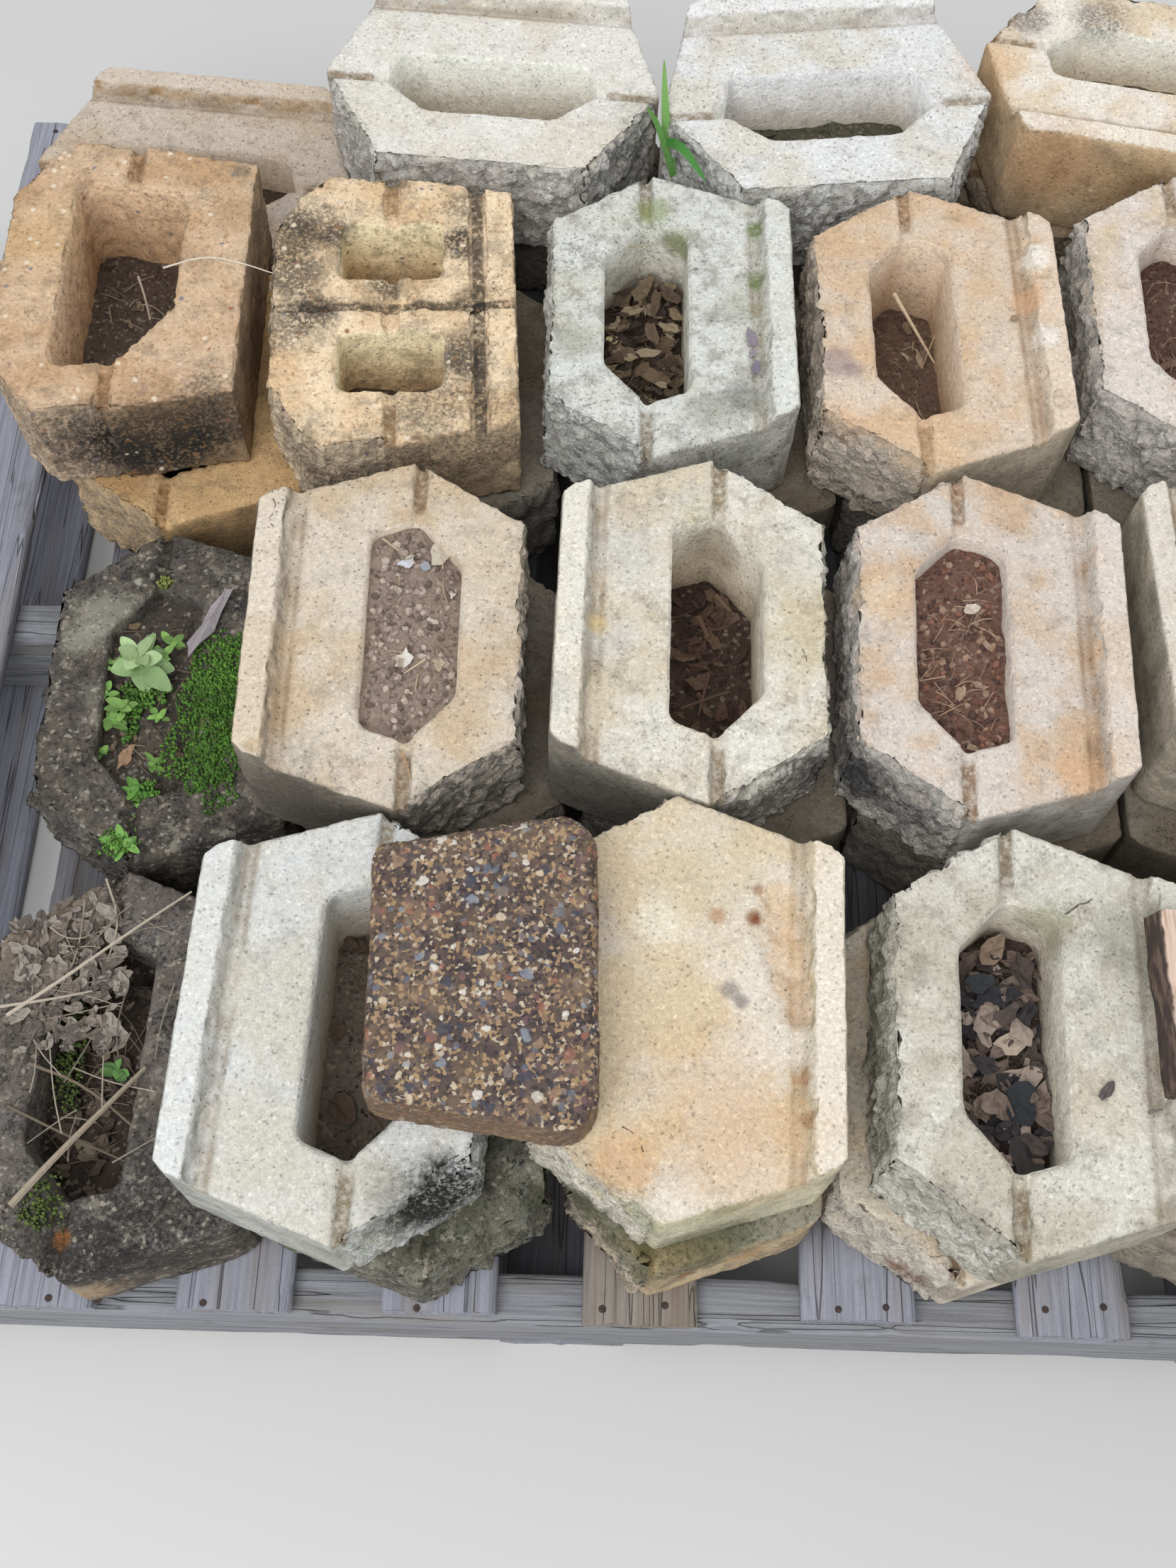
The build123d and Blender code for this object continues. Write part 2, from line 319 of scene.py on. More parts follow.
nail_rng = np.random.default_rng(4)
front_nail_row = 1844
front_nail_columns = (65, 135, 285, 355, 588, 657, 850, 938, 1183, 1250, 1475, 1557)
boards_with_front_nails_seen, least_edge_gap = 7, 0.007
board_boxes = [[np.array(c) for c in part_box(f"deck_board_{i}")] for i in range(1, 9)]
deck_top = board_boxes[0][1][2]
nail_spots = []
for column in front_nail_columns:
    spot = seen(column, front_nail_row + nail_rng.uniform(-4, 4), deck_top * 1000)
    nail_spots.append(np.array([spot[0], max(spot[1], board_boxes[0][0][1] + least_edge_gap)]))
for number, (low, high) in enumerate(board_boxes):
    for bearer in ("front", "middle", "rear"):
        if bearer != "front" or number >= boards_with_front_nails_seen:
            line = sum(np.array(c)[1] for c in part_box("bearer_" + bearer)) / 2
            for share in (0.24, 0.74):
                x = low[0] + share * (high[0] - low[0]) + nail_rng.uniform(-0.005, 0.005)
                nail_spots.append(np.array([x, line + nail_rng.uniform(-0.007, 0.007)]))
nail_points, nail_faces, around = [], [], 12
for x, y in nail_spots:
    start, radius = len(nail_points), nail_rng.uniform(0.0028, 0.0036)
    for share, lift in ((1.0, -0.0010), (0.85, -0.0003), (0.4, -0.0002)):
        for k in range(around):
            angle, reach = k * math.tau / around, share * radius
            nail_points.append((x + reach * math.cos(angle), y + reach * math.sin(angle), deck_top + lift))
    nail_faces += band(start, start + around, around) + band(start + around, start + 2 * around, around)
    nail_faces.append(tuple(start + 2 * around + k for k in range(around)))
nail_mesh = bpy.data.meshes.new("deck_nails")
nail_mesh.from_pydata(nail_points, [], nail_faces)
nail_mesh.materials.append(paint("old_steel", old_steel))
nails = bpy.data.objects.new("deck_nails", nail_mesh)
collection.objects.link(nails)
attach(nails, "root")


# Wall blocks: dry-pressed concrete, split from a wide pair, so that the front and wings are broken.
# Each is a fine copy of its solid, worn in the block's own frame: broken facets on the split faces,
# nibbled edges, chips and hollows. Its concrete then gets its own stains, dirt and cracks,
# and painted light and shade on its broken faces, grooves, pores, core walls and flanks.
def both_sides(half):
    """Closed outline in metres, from the points of its +Y half in millimetres."""
    return np.array(list(half) + [(x, -y) for x, y in reversed(half)]) / 1000


def drawn(rear, front=86):
    """Outline of a wall block whose rear and front lie that far from its widest line."""
    return both_sides([(front, 95.5), (5, 150), (-5, 150), (9 - rear, 112.5), (-rear, 103.5)])


outlines = {"standard": drawn(122), "plain": drawn(122), "solid": drawn(122), "broken": drawn(122, 60),
            "deep_front": drawn(122, 99), "deep": drawn(133, 99)}
blunt = [(104, 82), (80, 126), (54, 150), (5, 143), (-5, 143), (-104, 123)]
outlines["wide"] = outlines["two"] = both_sides(blunt)
lipped, tan = ("standard", "solid", "deep_front", "deep"), ("wide", "two")
block_height = 0.095

# Way the front faces in degrees, kind, then pale, warm and flank colours, and how grimy and how rough it is.
# The lower blocks that the upper course hides share one set, darker than the upper blocks: partly dirt,
# partly painted shade in the gaps between them.
hidden_in_shade = ((138, 130, 116), (120, 108, 92), (118, 110, 96), 0.5, 1.0)
blocks = {
    "upper_row1_block2": (-1.6, "standard", (200, 200, 196), (194, 189, 176), (180, 180, 172), 0.12, 1.0),
    "upper_row1_block3": (178.3, "solid", (212, 202, 186), (205, 186, 156), (204, 196, 168), 0.12, 1.0),
    "upper_row1_block4": (177.5, "standard", (204, 200, 188), (184, 176, 158), (178, 172, 154), 0.34, 1.2),
    "upper_row1_block5": (0, "standard", (204, 200, 190), (190, 180, 162), (186, 180, 164), 0.30, 1.0),
    # These two blocks' flank colours are darker than their tops, as painted shade on their front flanks.
    "upper_row2_block2": (1.1, "standard", (204, 192, 174), (192, 170, 142), (138, 129, 115), 0.22, 1.0),
    "upper_row2_block3": (-0.8, "standard", (214, 209, 196), (201, 189, 166), (162, 156, 143), 0.32, 1.0),
    "upper_row2_block4": (177.8, "standard", (204, 194, 182), (196, 168, 140), (192, 186, 176), 0.18, 1.1),
    "upper_row2_block5": (0.6, "standard", (206, 198, 184), (192, 172, 146), (186, 176, 156), 0.20, 1.0),
    "upper_row3_block1": (181.8, "wide", (204, 176, 146), (186, 152, 116), (160, 136, 108), 0.35, 1.0),
    "upper_row3_block2": (184, "two", (229, 205, 172), (213, 182, 142), (214, 188, 153), 0.46, 1.3),
    "upper_row3_block3": (180.7, "standard", (206, 206, 198), (194, 191, 176), (200, 198, 188), 0.50, 1.0),
    "upper_row3_block4": (180.9, "standard", (210, 192, 172), (204, 174, 142), (190, 176, 154), 0.16, 1.1),
    "upper_row3_block5": (179, "standard", (214, 204, 194), (206, 186, 160), (192, 186, 176), 0.20, 1.1),
    "upper_row4_block2": (-93.1, "deep_front", (220, 216, 208), (212, 204, 188), (200, 194, 182), 0.15, 1.2),
    "upper_row4_block3": (-82.4, "deep", (220, 219, 216), (212, 206, 194), (200, 196, 184), 0.20, 1.2),
    "upper_row4_block4": (80.5, "standard", (228, 220, 206), (216, 196, 168), (212, 184, 148), 0.15, 1.0),
    "lower_row1_block1": (179.3, "plain", (112, 106, 102), (86, 80, 76), (92, 84, 76), 0.90, 1.7),
    "lower_row1_block2": (0, "plain", (116, 116, 104), (84, 86, 72), (112, 112, 100), 0.95, 1.7),
    "lower_row1_block3": (180, "broken", (146, 142, 124), (180, 156, 120), (196, 174, 140), 0.60, 1.7),
    "lower_row1_block4": (180, "plain", (196, 186, 168), (196, 174, 144), (216, 204, 184), 0.40, 1.3),
    "lower_row1_block5": (0, "plain", (150, 142, 128), (130, 120, 106), (150, 142, 126), 0.60, 1.5),
    "lower_row2_block1": (182, "plain", (84, 80, 76), (64, 60, 56), (66, 62, 58), 0.95, 1.5),
    "lower_row2_block2": (0, "plain", *hidden_in_shade), "lower_row2_block3": (180, "plain", *hidden_in_shade),
    "lower_row2_block4": (180, "plain", *hidden_in_shade), "lower_row2_block5": (0, "plain", *hidden_in_shade),
    "lower_row3_block1": (181.5, "plain", (200, 166, 120), (180, 144, 100), (184, 150, 106), 0.35, 1.0),
    "lower_row3_block2": (0, "plain", *hidden_in_shade), "lower_row3_block3": (180, "plain", *hidden_in_shade),
    "lower_row3_block4": (180, "plain", *hidden_in_shade), "lower_row3_block5": (0, "plain", *hidden_in_shade),
    "lower_row4_block1": (-94.2, "standard", (200, 186, 170), (188, 168, 144), (178, 148, 112), 0.25, 1.0),
    "lower_row4_block2": (-90, "plain", *hidden_in_shade), "lower_row4_block3": (-90, "plain", *hidden_in_shade),
    "lower_row4_block4": (-90, "plain", (170, 152, 126), (152, 126, 94), (146, 122, 92), 0.50, 1.0),
}
open_tops = ("lower_row1_block1", "lower_row2_block1", "lower_row4_block1")


def stands(name):
    """Turn of a block as a plane matrix, and the middle of its widest line."""
    facing, kind = blocks[name][:2]
    turned = np.array(Matrix.Rotation(math.radians(facing), 2))
    spread = outlines[kind] @ turned.T
    low, high = (np.array(c)[:2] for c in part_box(name))
    return turned, (low + high - spread.min(axis=0) - spread.max(axis=0)) / 2


def grains(size, output="Color", shift=0.0):
    """Packed cells of that size: a random colour for each, or the distance from its middle."""
    return Field.node("TexVoronoi", {"Vector": place() + shift, "Scale": 1 / size}, output)


def facets(points, size, seed):
    """Broken facets of about that size, each with its own height and lean, between about -1 and 1."""
    rng = np.random.default_rng(seed)
    middle, lift = rng.uniform(0, 1, (16, 16, 16, 3)), rng.uniform(-0.7, 0.7, (16, 16, 16))
    lean = rng.uniform(-0.8, 0.8, (16, 16, 16, 3))
    spot = points / size
    cell = np.floor(spot).astype(int)
    nearest, height = np.full(len(points), 9.0), np.zeros(len(points))
    for step in np.ndindex(3, 3, 3):
        beside = cell + step - 1
        key = tuple((beside % 16).T)
        offset = spot - beside - middle[key]
        gap = (offset ** 2).sum(axis=1)
        closer = gap < nearest
        nearest[closer] = gap[closer]
        height[closer] = (lift[key] + (offset * lean[key]).sum(axis=1))[closer]
    return height


def remeshed(name, size, own=Matrix()):
    """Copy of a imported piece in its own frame, cut into even faces of that size."""
    rough = bpy.data.objects.new(name + "_rough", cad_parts[name].data.copy())
    rough.data.transform(own.inverted())
    collection.objects.link(rough)
    cut = rough.modifiers.new("cut", "REMESH")
    cut.mode, cut.voxel_size = "VOXEL", size
    mesh = bpy.data.meshes.new_from_object(rough.evaluated_get(bpy.context.evaluated_depsgraph_get()))
    bpy.data.objects.remove(rough)
    mesh.materials.clear()
    return mesh


def points_of(mesh):
    """Places and normals of the mesh's points, as arrays."""
    point, normal = np.empty(len(mesh.vertices) * 3), np.empty(len(mesh.vertices) * 3)
    mesh.vertices.foreach_get("co", point)
    mesh.vertex_normals.foreach_get("vector", normal)
    return point.reshape(-1, 3), normal.reshape(-1, 3)


def thinned(name, mesh, share):
    """Object from the mesh, with fewer faces where it is flat and normals that keep its flats flat."""
    mesh.shade_smooth()
    made = bpy.data.objects.new(name, mesh)
    collection.objects.link(made)
    if share < 1:
        made.modifiers.new("fewer", "DECIMATE").ratio = share
    made.modifiers.new("level", "WEIGHTED_NORMAL").weight = 60
    made.data = bpy.data.meshes.new_from_object(made.evaluated_get(bpy.context.evaluated_depsgraph_get()))
    made.modifiers.clear()
    return made


# Chips and hollows: pixel, height in mm, radius and depth in mm.
dents = [
    (1470, 380, 328, 12, 5), (1480, 450, 328, 10, 4), (1500, 560, 328, 12, 6), (1462, 335, 328, 9, 4),
    (1098, 1266, 316, 17, 4), (1104, 1302, 316, 19, 4), (1112, 1345, 316, 20, 4), (1119, 1388, 316, 18, 4),
    (1126, 1430, 316, 14, 4), (880, 1622, 316, 16, 2), (1190, 1660, 328, 9, 4), (500, 600, 316, 8, 3),
    (640, 1660, 312, 26, 12), (600, 1715, 290, 28, 10), (395, 262, 316, 10, 4), (1345, 300, 316, 8, 3),
    (735, 600, 316, 10, 5), (372, 330, 316, 9, 4), (360, 505, 316, 14, 7), (415, 615, 312, 16, 8),
    (735, 455, 316, 8, 3), (1060, 1105, 312, 16, 7), (1170, 1115, 310, 14, 7), (1300, 1790, 300, 24, 10),
    (1255, 1700, 305, 20, 9), (480, 160, 316, 12, 5), (890, 175, 316, 12, 5), (1385, 210, 312, 14, 6),
    (1000, 1640, 316, 9, 3), (1640, 1255, 328, 12, 4), (1600, 1250, 328, 10, 4), (355, 1050, 328, 8, 3),
    (325, 1120, 312, 10, 4),
]


def near(name, point, margin=0.014):
    """Whether the point is on that piece or close to it."""
    low, high = (np.array(c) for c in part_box(name))
    return bool(np.all(point > low - margin) and np.all(point < high + margin))


def nearest_split(point, outline):
    """Distance of each point from the nearest broken face of the outline, and that face's way out."""
    distance, outward = np.full(len(point), 1.0), np.zeros((len(point), 3))
    for a, b in zip(outline, np.roll(outline, -1, axis=0)):
        if min(a[0], b[0]) > 0:
            share = np.clip((point[:, :2] - a) @ (b - a) / ((b - a) @ (b - a)), 0, 1)
            gap = np.linalg.norm(a + share[:, None] * (b - a) - point[:, :2], axis=1)
            away = np.array([abs(b[1] - a[1]), abs(b[0] - a[0]) * np.sign(a[1] + b[1]), 0])
            nearer = gap < distance
            distance[nearer], outward[nearer] = gap[nearer], away / np.linalg.norm(away)
    return distance, outward


def worn_block(name, number, size):
    """Mesh of a worn block, with how split and how deep in a hollow each point is."""
    facing, kind, *_, rough = blocks[name]
    turned, middle = stands(name)
    own = Matrix.Translation((*middle, 0)) @ Matrix.Rotation(math.radians(facing), 4, "Z")
    mesh = remeshed(name, size, own)
    point, normal = points_of(mesh)
    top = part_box(name)[0][2] + block_height
    distance, outward = nearest_split(point, outlines[kind])
    split = 1 - ramp(distance, 0.001, 0.008)
    coarse = kind in tan
    broad, small = facets(point, 0.024, number), facets(point, 0.011, number + 1)
    hollow = 0.5 + 0.32 * broad + 0.22 * small + 0.18 * lumps(point, 0.005, number + 2)
    bite = (0.005 if coarse else 0.0085) * rough * np.clip(hollow, 0, 1.2)
    bite += 0.002 * ramp(point[:, 2], top - 0.014, top) * (1 + lumps(point, 0.016, number + 3))
    push = outward * (split * bite)[:, None]
    upright = 1 - ramp(np.abs(normal[:, 2]), 0.2, 0.6)
    wild = 0.0035 * max(rough - 1.25, 0) * np.clip(0.5 + 0.6 * facets(point, 0.02, number + 4), 0, 1.2)
    edge = ramp(np.abs(normal[:, 2]), 0.12, 0.35) * (1 - ramp(np.abs(normal[:, 2]), 0.85, 0.98))
    wear = 0.0004 + 0.0004 * lumps(point, 0.02, number + 5) + 0.0003 * lumps(point, 0.006, number + 6)
    nibbled = 0.003 * ramp(lumps(point, 0.014, number + 8), 0.4, 0.85)
    wear += edge * (0.0007 + 0.0009 * lumps(point, 0.005, number + 7) + nibbled)
    wear += wild * (0.4 + 0.6 * upright)
    wear += 0.0012 * ramp(lumps(point, 0.005, number + 9), 0.66, 0.9)
    if coarse:
        nibbled = 0.003 * ramp(lumps(point, 0.012, number + 11), -0.1, 0.6)
        wear += 0.0011 * (1 + facets(point, 0.008, number + 10)) + edge * nibbled
    point -= push + normal * np.maximum(wear, 0)[:, None]
    whole = point @ np.array(own.to_3x3()).T + (*middle, 0)
    jagged, facing_out = 0.3 * lumps(whole, 0.007, 5), normal @ np.array(own.to_3x3()).T
    for column, row, height, radius, depth in dents:
        spot = seen(column, row, height)
        if near(name, spot):
            away = np.linalg.norm(whole - spot, axis=1) * 1000 / radius + jagged
            whole -= facing_out * (depth / 1000 * (1 - ramp(away, 0.3, 1.0)))[:, None]
    mesh.vertices.foreach_set("co", np.ascontiguousarray(whole).ravel())
    for label, values in (("split", split), ("hollow", np.clip(hollow, 0, 1))):
        mesh.attributes.new(label, "FLOAT", "POINT").data.foreach_set("value", values.astype(np.float32))
    mesh.update()
    return mesh


# Stains, and a few patches of painted shade in the gaps: pixel, height and radius in mm, colour and
# strength.
rust, moss, soot = (122, 62, 34), (96, 116, 52), (44, 42, 40)
ochre, lime = (190, 140, 76), (232, 228, 216)
stains_and_painted_shade = [
    (1065, 1295, 316, 8, rust, 1.0), (1012, 1290, 316, 8, (166, 104, 60), 0.8),
    (1070, 1255, 316, 6, rust, 0.8), (1175, 1655, 328, 4, rust, 0.9), (1000, 1560, 316, 70, ochre, 0.25),
    (1060, 1620, 316, 60, ochre, 0.25), (880, 1640, 316, 30, ochre, 0.5),
    (1030, 1395, 316, 9, (112, 106, 108), 0.6), (1046, 1412, 316, 7, (98, 94, 98), 0.6),
    (1098, 1266, 316, 18, (200, 164, 120), 0.5), (1104, 1302, 316, 20, (196, 158, 114), 0.5),
    (1112, 1345, 316, 21, (200, 162, 118), 0.5), (1119, 1388, 316, 19, (190, 152, 108), 0.5),
    (1126, 1430, 316, 15, (180, 140, 98), 0.5), (1132, 1520, 318, 9, (150, 106, 70), 0.6),
    (1140, 1580, 318, 9, (150, 110, 76), 0.6), (930, 1300, 316, 24, (232, 226, 206), 0.6),
    (1000, 1230, 316, 60, (196, 186, 160), 0.4), (900, 1730, 300, 26, moss, 0.35),
    (1010, 1740, 290, 30, moss, 0.4), (560, 1700, 300, 34, (86, 84, 78), 0.5),
    (620, 1700, 285, 42, soot, 1.0), (650, 1730, 260, 46, soot, 1.0), (200, 1745, 221, 70, soot, 0.8),
    (60, 1790, 216, 50, soot, 0.6), (500, 1770, 270, 40, moss, 0.3),
    (440, 1090, 270, 50, (118, 104, 84), 0.4), (700, 790, 312, 50, (186, 164, 132), 0.3),
    (850, 900, 316, 30, (176, 172, 168), 0.35), (880, 780, 316, 36, (190, 188, 184), 0.35),
    (842, 880, 316, 12, (206, 178, 112), 0.5), (1130, 900, 316, 46, (186, 170, 128), 0.4),
    (1090, 800, 316, 44, (184, 176, 152), 0.35), (980, 740, 300, 24, moss, 0.3),
    (1010, 770, 280, 34, (110, 88, 58), 0.5), (1240, 840, 316, 30, (214, 178, 132), 0.4),
    # The near-black patches at 262 to 270 mm and the darker row at 262 mm are painted shade in the gaps
    # between the block rows and low on the flanks beside them.
    (1520, 1095, 316, 24, (206, 164, 124), 0.5), (1190, 1110, 270, 46, (38, 38, 42), 0.9),
    (1245, 1190, 270, 54, (34, 34, 38), 0.92), (1290, 1225, 262, 42, (40, 39, 40), 0.85),
    (430, 1140, 262, 70, (86, 82, 76), 0.6), (560, 1165, 262, 60, (96, 92, 84), 0.5),
    (860, 1120, 262, 60, (84, 82, 74), 0.6), (980, 1150, 262, 60, (78, 76, 68), 0.6),
    (760, 985, 316, 34, (168, 164, 158), 0.5), (1600, 1320, 320, 40, (134, 134, 116), 0.5),
    (1490, 1320, 316, 26, (120, 114, 102), 0.3), (1470, 1310, 300, 30, (130, 130, 84), 0.5),
    (1340, 1740, 312, 40, (142, 138, 126), 0.45), (1560, 1560, 316, 40, (200, 184, 156), 0.3),
    (190, 660, 262, 56, soot, 1.0), (250, 640, 262, 52, soot, 1.0), (310, 650, 268, 44, soot, 1.0),
    (130, 620, 270, 44, soot, 0.6), (220, 600, 300, 50, (124, 100, 74), 0.25),
    (300, 560, 300, 30, soot, 0.6), (590, 640, 268, 60, soot, 0.5), (470, 640, 270, 40, soot, 0.4),
    (340, 240, 316, 12, (120, 108, 90), 0.7), (330, 300, 316, 30, (160, 128, 92), 0.5),
    (60, 330, 316, 50, (204, 172, 124), 0.4), (400, 330, 316, 36, soot, 0.7),
    (440, 310, 316, 30, soot, 0.6), (415, 385, 316, 30, soot, 0.75), (392, 470, 316, 30, soot, 0.6),
    (440, 440, 316, 26, soot, 0.8), (480, 330, 316, 20, soot, 0.7), (650, 340, 316, 20, soot, 0.9),
    (655, 500, 316, 26, soot, 0.8), (560, 250, 316, 16, soot, 0.5), (655, 290, 316, 20, soot, 0.6),
    (660, 420, 316, 16, soot, 0.5), (655, 545, 316, 24, soot, 0.5), (600, 600, 290, 40, soot, 0.5),
    (690, 610, 285, 40, soot, 0.5), (420, 640, 290, 40, soot, 0.4), (545, 400, 314, 16, soot, 0.8),
    (920, 300, 312, 22, (128, 138, 74), 0.6), (955, 350, 300, 22, (110, 116, 48), 0.75),
    (930, 320, 280, 24, (110, 112, 52), 0.6), (1068, 400, 312, 12, moss, 0.7),
    (1068, 330, 312, 12, moss, 0.8), (1066, 440, 312, 10, (120, 104, 60), 0.6),
    (1050, 560, 316, 24, (96, 98, 90), 0.55), (1000, 580, 316, 30, (140, 142, 128), 0.5),
    (810, 480, 316, 26, (150, 150, 140), 0.45), (1040, 430, 316, 24, (158, 160, 146), 0.4),
    (1180, 510, 316, 20, (132, 110, 112), 0.55), (1205, 520, 316, 12, (122, 100, 106), 0.5),
    (1180, 600, 316, 34, (214, 172, 132), 0.4), (1450, 420, 322, 20, (206, 158, 116), 0.5),
    (1300, 640, 316, 40, (214, 184, 146), 0.35), (1460, 360, 328, 20, lime, 0.7),
    (1475, 470, 328, 18, lime, 0.6), (540, 160, 312, 50, (206, 200, 180), 0.3),
    (900, 190, 290, 40, soot, 0.35), (860, 230, 270, 40, soot, 0.4),
    (1030, 180, 300, 26, (150, 150, 118), 0.4), (1480, 240, 290, 60, (176, 128, 84), 0.5),
    (1600, 260, 280, 50, (150, 114, 70), 0.5), (1450, 20, 320, 26, soot, 0.6),
    (1560, 12, 328, 34, soot, 0.6), (1400, 90, 316, 40, (214, 176, 134), 0.5),
    (150, 870, 221, 34, (136, 132, 120), 0.8), (110, 900, 221, 20, (150, 146, 132), 0.6),
    (195, 820, 221, 5, (168, 164, 150), 0.9), (215, 812, 221, 4, (168, 164, 150), 0.9),
    (130, 980, 221, 16, (120, 116, 104), 0.5), (300, 1010, 221, 40, moss, 0.9),
    (100, 1240, 221, 20, moss, 0.5), (95, 1400, 221, 40, (150, 138, 118), 0.5),
    (60, 1300, 221, 60, (132, 114, 96), 0.6), (40, 1620, 221, 40, (84, 78, 70), 0.4),
    (92, 1750, 214, 10, (150, 96, 48), 0.8), (110, 1800, 160, 40, (184, 156, 122), 0.6),
    (120, 1420, 190, 30, moss, 0.6), (400, 1760, 180, 50, moss, 0.5),
    (620, 1700, 200, 60, (58, 60, 44), 0.6), (700, 1790, 180, 60, (126, 124, 100), 0.4),
    (800, 1700, 216, 40, (66, 70, 46), 0.8), (980, 1720, 216, 60, (72, 76, 48), 0.7),
    (880, 1770, 200, 40, (84, 88, 56), 0.6), (960, 1785, 180, 14, rust, 0.8),
    (1050, 1765, 180, 20, (196, 150, 90), 0.4), (1270, 1810, 160, 26, (122, 74, 44), 0.8),
    (1340, 1800, 170, 40, (120, 110, 96), 0.4), (1490, 160, 250, 40, (196, 150, 110), 0.5),
]
# Hair cracks: pixels that each runs through, height in mm and half its width in mm.
cracks = [
    ([(382, 690), (388, 712), (380, 735), (392, 752)], 328, 0.8),
    ([(395, 560), (410, 590), (402, 620), (425, 655)], 316, 1.1),
    ([(360, 480), (378, 500), (370, 540)], 316, 0.9),
    ([(1503, 1288), (1520, 1280), (1542, 1268)], 316, 1.2),
    ([(1128, 905), (1140, 930), (1136, 960)], 316, 0.7),
    ([(655, 1320), (668, 1352), (664, 1390)], 316, 0.6), ([(360, 520), (392, 590), (420, 640)], 316, 1.2),
    ([(862, 1600), (880, 1590), (900, 1602), (906, 1626), (890, 1642), (868, 1634)], 316, 0.9),
    ([(1620, 1395), (1600, 1430), (1612, 1470)], 328, 0.8),
]


def length_of(vector):
    return Field.node("VectorMath", {0: vector}, 1, operation="LENGTH")


def along(vector, way):
    return Field.node("VectorMath", {0: vector, 1: way}, 1, operation="DOT_PRODUCT")


def scaled(tone, *factors):
    """The tone as a shader colour, times one factor, or times one for each channel."""
    if len(factors) == 1:
        factors = factors * 3
    return shade(*(min(255, c * k) for c, k in zip(tone, factors)))


def stained_and_shaded(colour, name, where, ragged, mould):
    """The colour with the block's stains and patches of painted shade on it: ragged patches, broken up where
    they are soot or moss.
    """
    drift = 0.9 * ragged - 0.45
    for column, row, height, radius, tint, strength in stains_and_painted_shade:
        spot = seen(column, row, height)
        if near(name, spot):
            reach = length_of(where - tuple(spot)) * (1000 / radius) + drift
            if tint in (soot, moss):
                patchy = 0.3 + 0.7 * (mould + 0.1 * strength).step(0.66, 0.80)
                cover = (1 - reach.step(0.45, 1.2)) * strength * patchy
            else:
                cover = (1 - reach.step(0.35, 1.05)) * strength
            colour = colour.to(shade(*tint), cover)
    return colour


def cracked(colour, name, where):
    """The colour with the block's hair cracks drawn on it, full of dark earth."""
    bend = Field.node("TexNoise", {"Vector": where, "Scale": 110.0, "Detail": 2.0}, "Color") - 0.5
    bent = where + bend * 0.006
    for line, height, half in cracks:
        spots = [seen(column, row, height) for column, row in line]
        if near(name, sum(spots) / len(spots)):
            for start, end in zip(spots, spots[1:]):
                run, off = end - start, bent - tuple(start)
                share = Field.node("Clamp", {0: along(off, tuple(run / (run @ run)))})
                gap = length_of(off - share * tuple(run))
                deep = 1 - gap.step(0.3 * half / 1000, half / 1000)
                colour = colour.to(shade(70, 58, 48), deep * 0.85)
    return colour


def crusted(colour, shift):
    """The colour under the black and grey crust of algae and lichen of a block that lay open for years."""
    crust = noise(0.018, 6, shift + 13, rough=0.8)
    colour = colour.to(shade(146, 140, 126), crust.step(0.53, 0.62) * 0.55)
    colour = colour.to(shade(34, 33, 32), (1 - crust.step(0.38, 0.47)) * 0.6)
    speck = axis(grains(0.0026, shift=shift + 5), 0).step(0.90, 0.94) * crust.step(0.40, 0.56)
    return colour.to(shade(172, 164, 148), speck * 0.55)


def gravelly(colour, shift, grit):
    """The colour with the grey, red and cream stones of the older tan blocks showing in it."""
    stone = grains(0.0085, shift=shift)
    shape = 1 - (grains(0.0085, "Distance", shift) + 0.25 * grit).step(0.30, 0.44)
    for way, low, high, tint, strength in ((0, 0.955, 0.965, (126, 124, 126), 0.9),
                                           (1, 0.965, 0.975, (150, 96, 76), 0.8),
                                           (2, 0.955, 0.965, (226, 210, 186), 0.8)):
        colour = colour.to(shade(*tint), axis(stone, way).step(low, high) * shape * strength)
    return colour.to(shade(150, 112, 74), (1 - noise(0.007, 4, shift + 6).step(0.30, 0.42)) * 0.6)


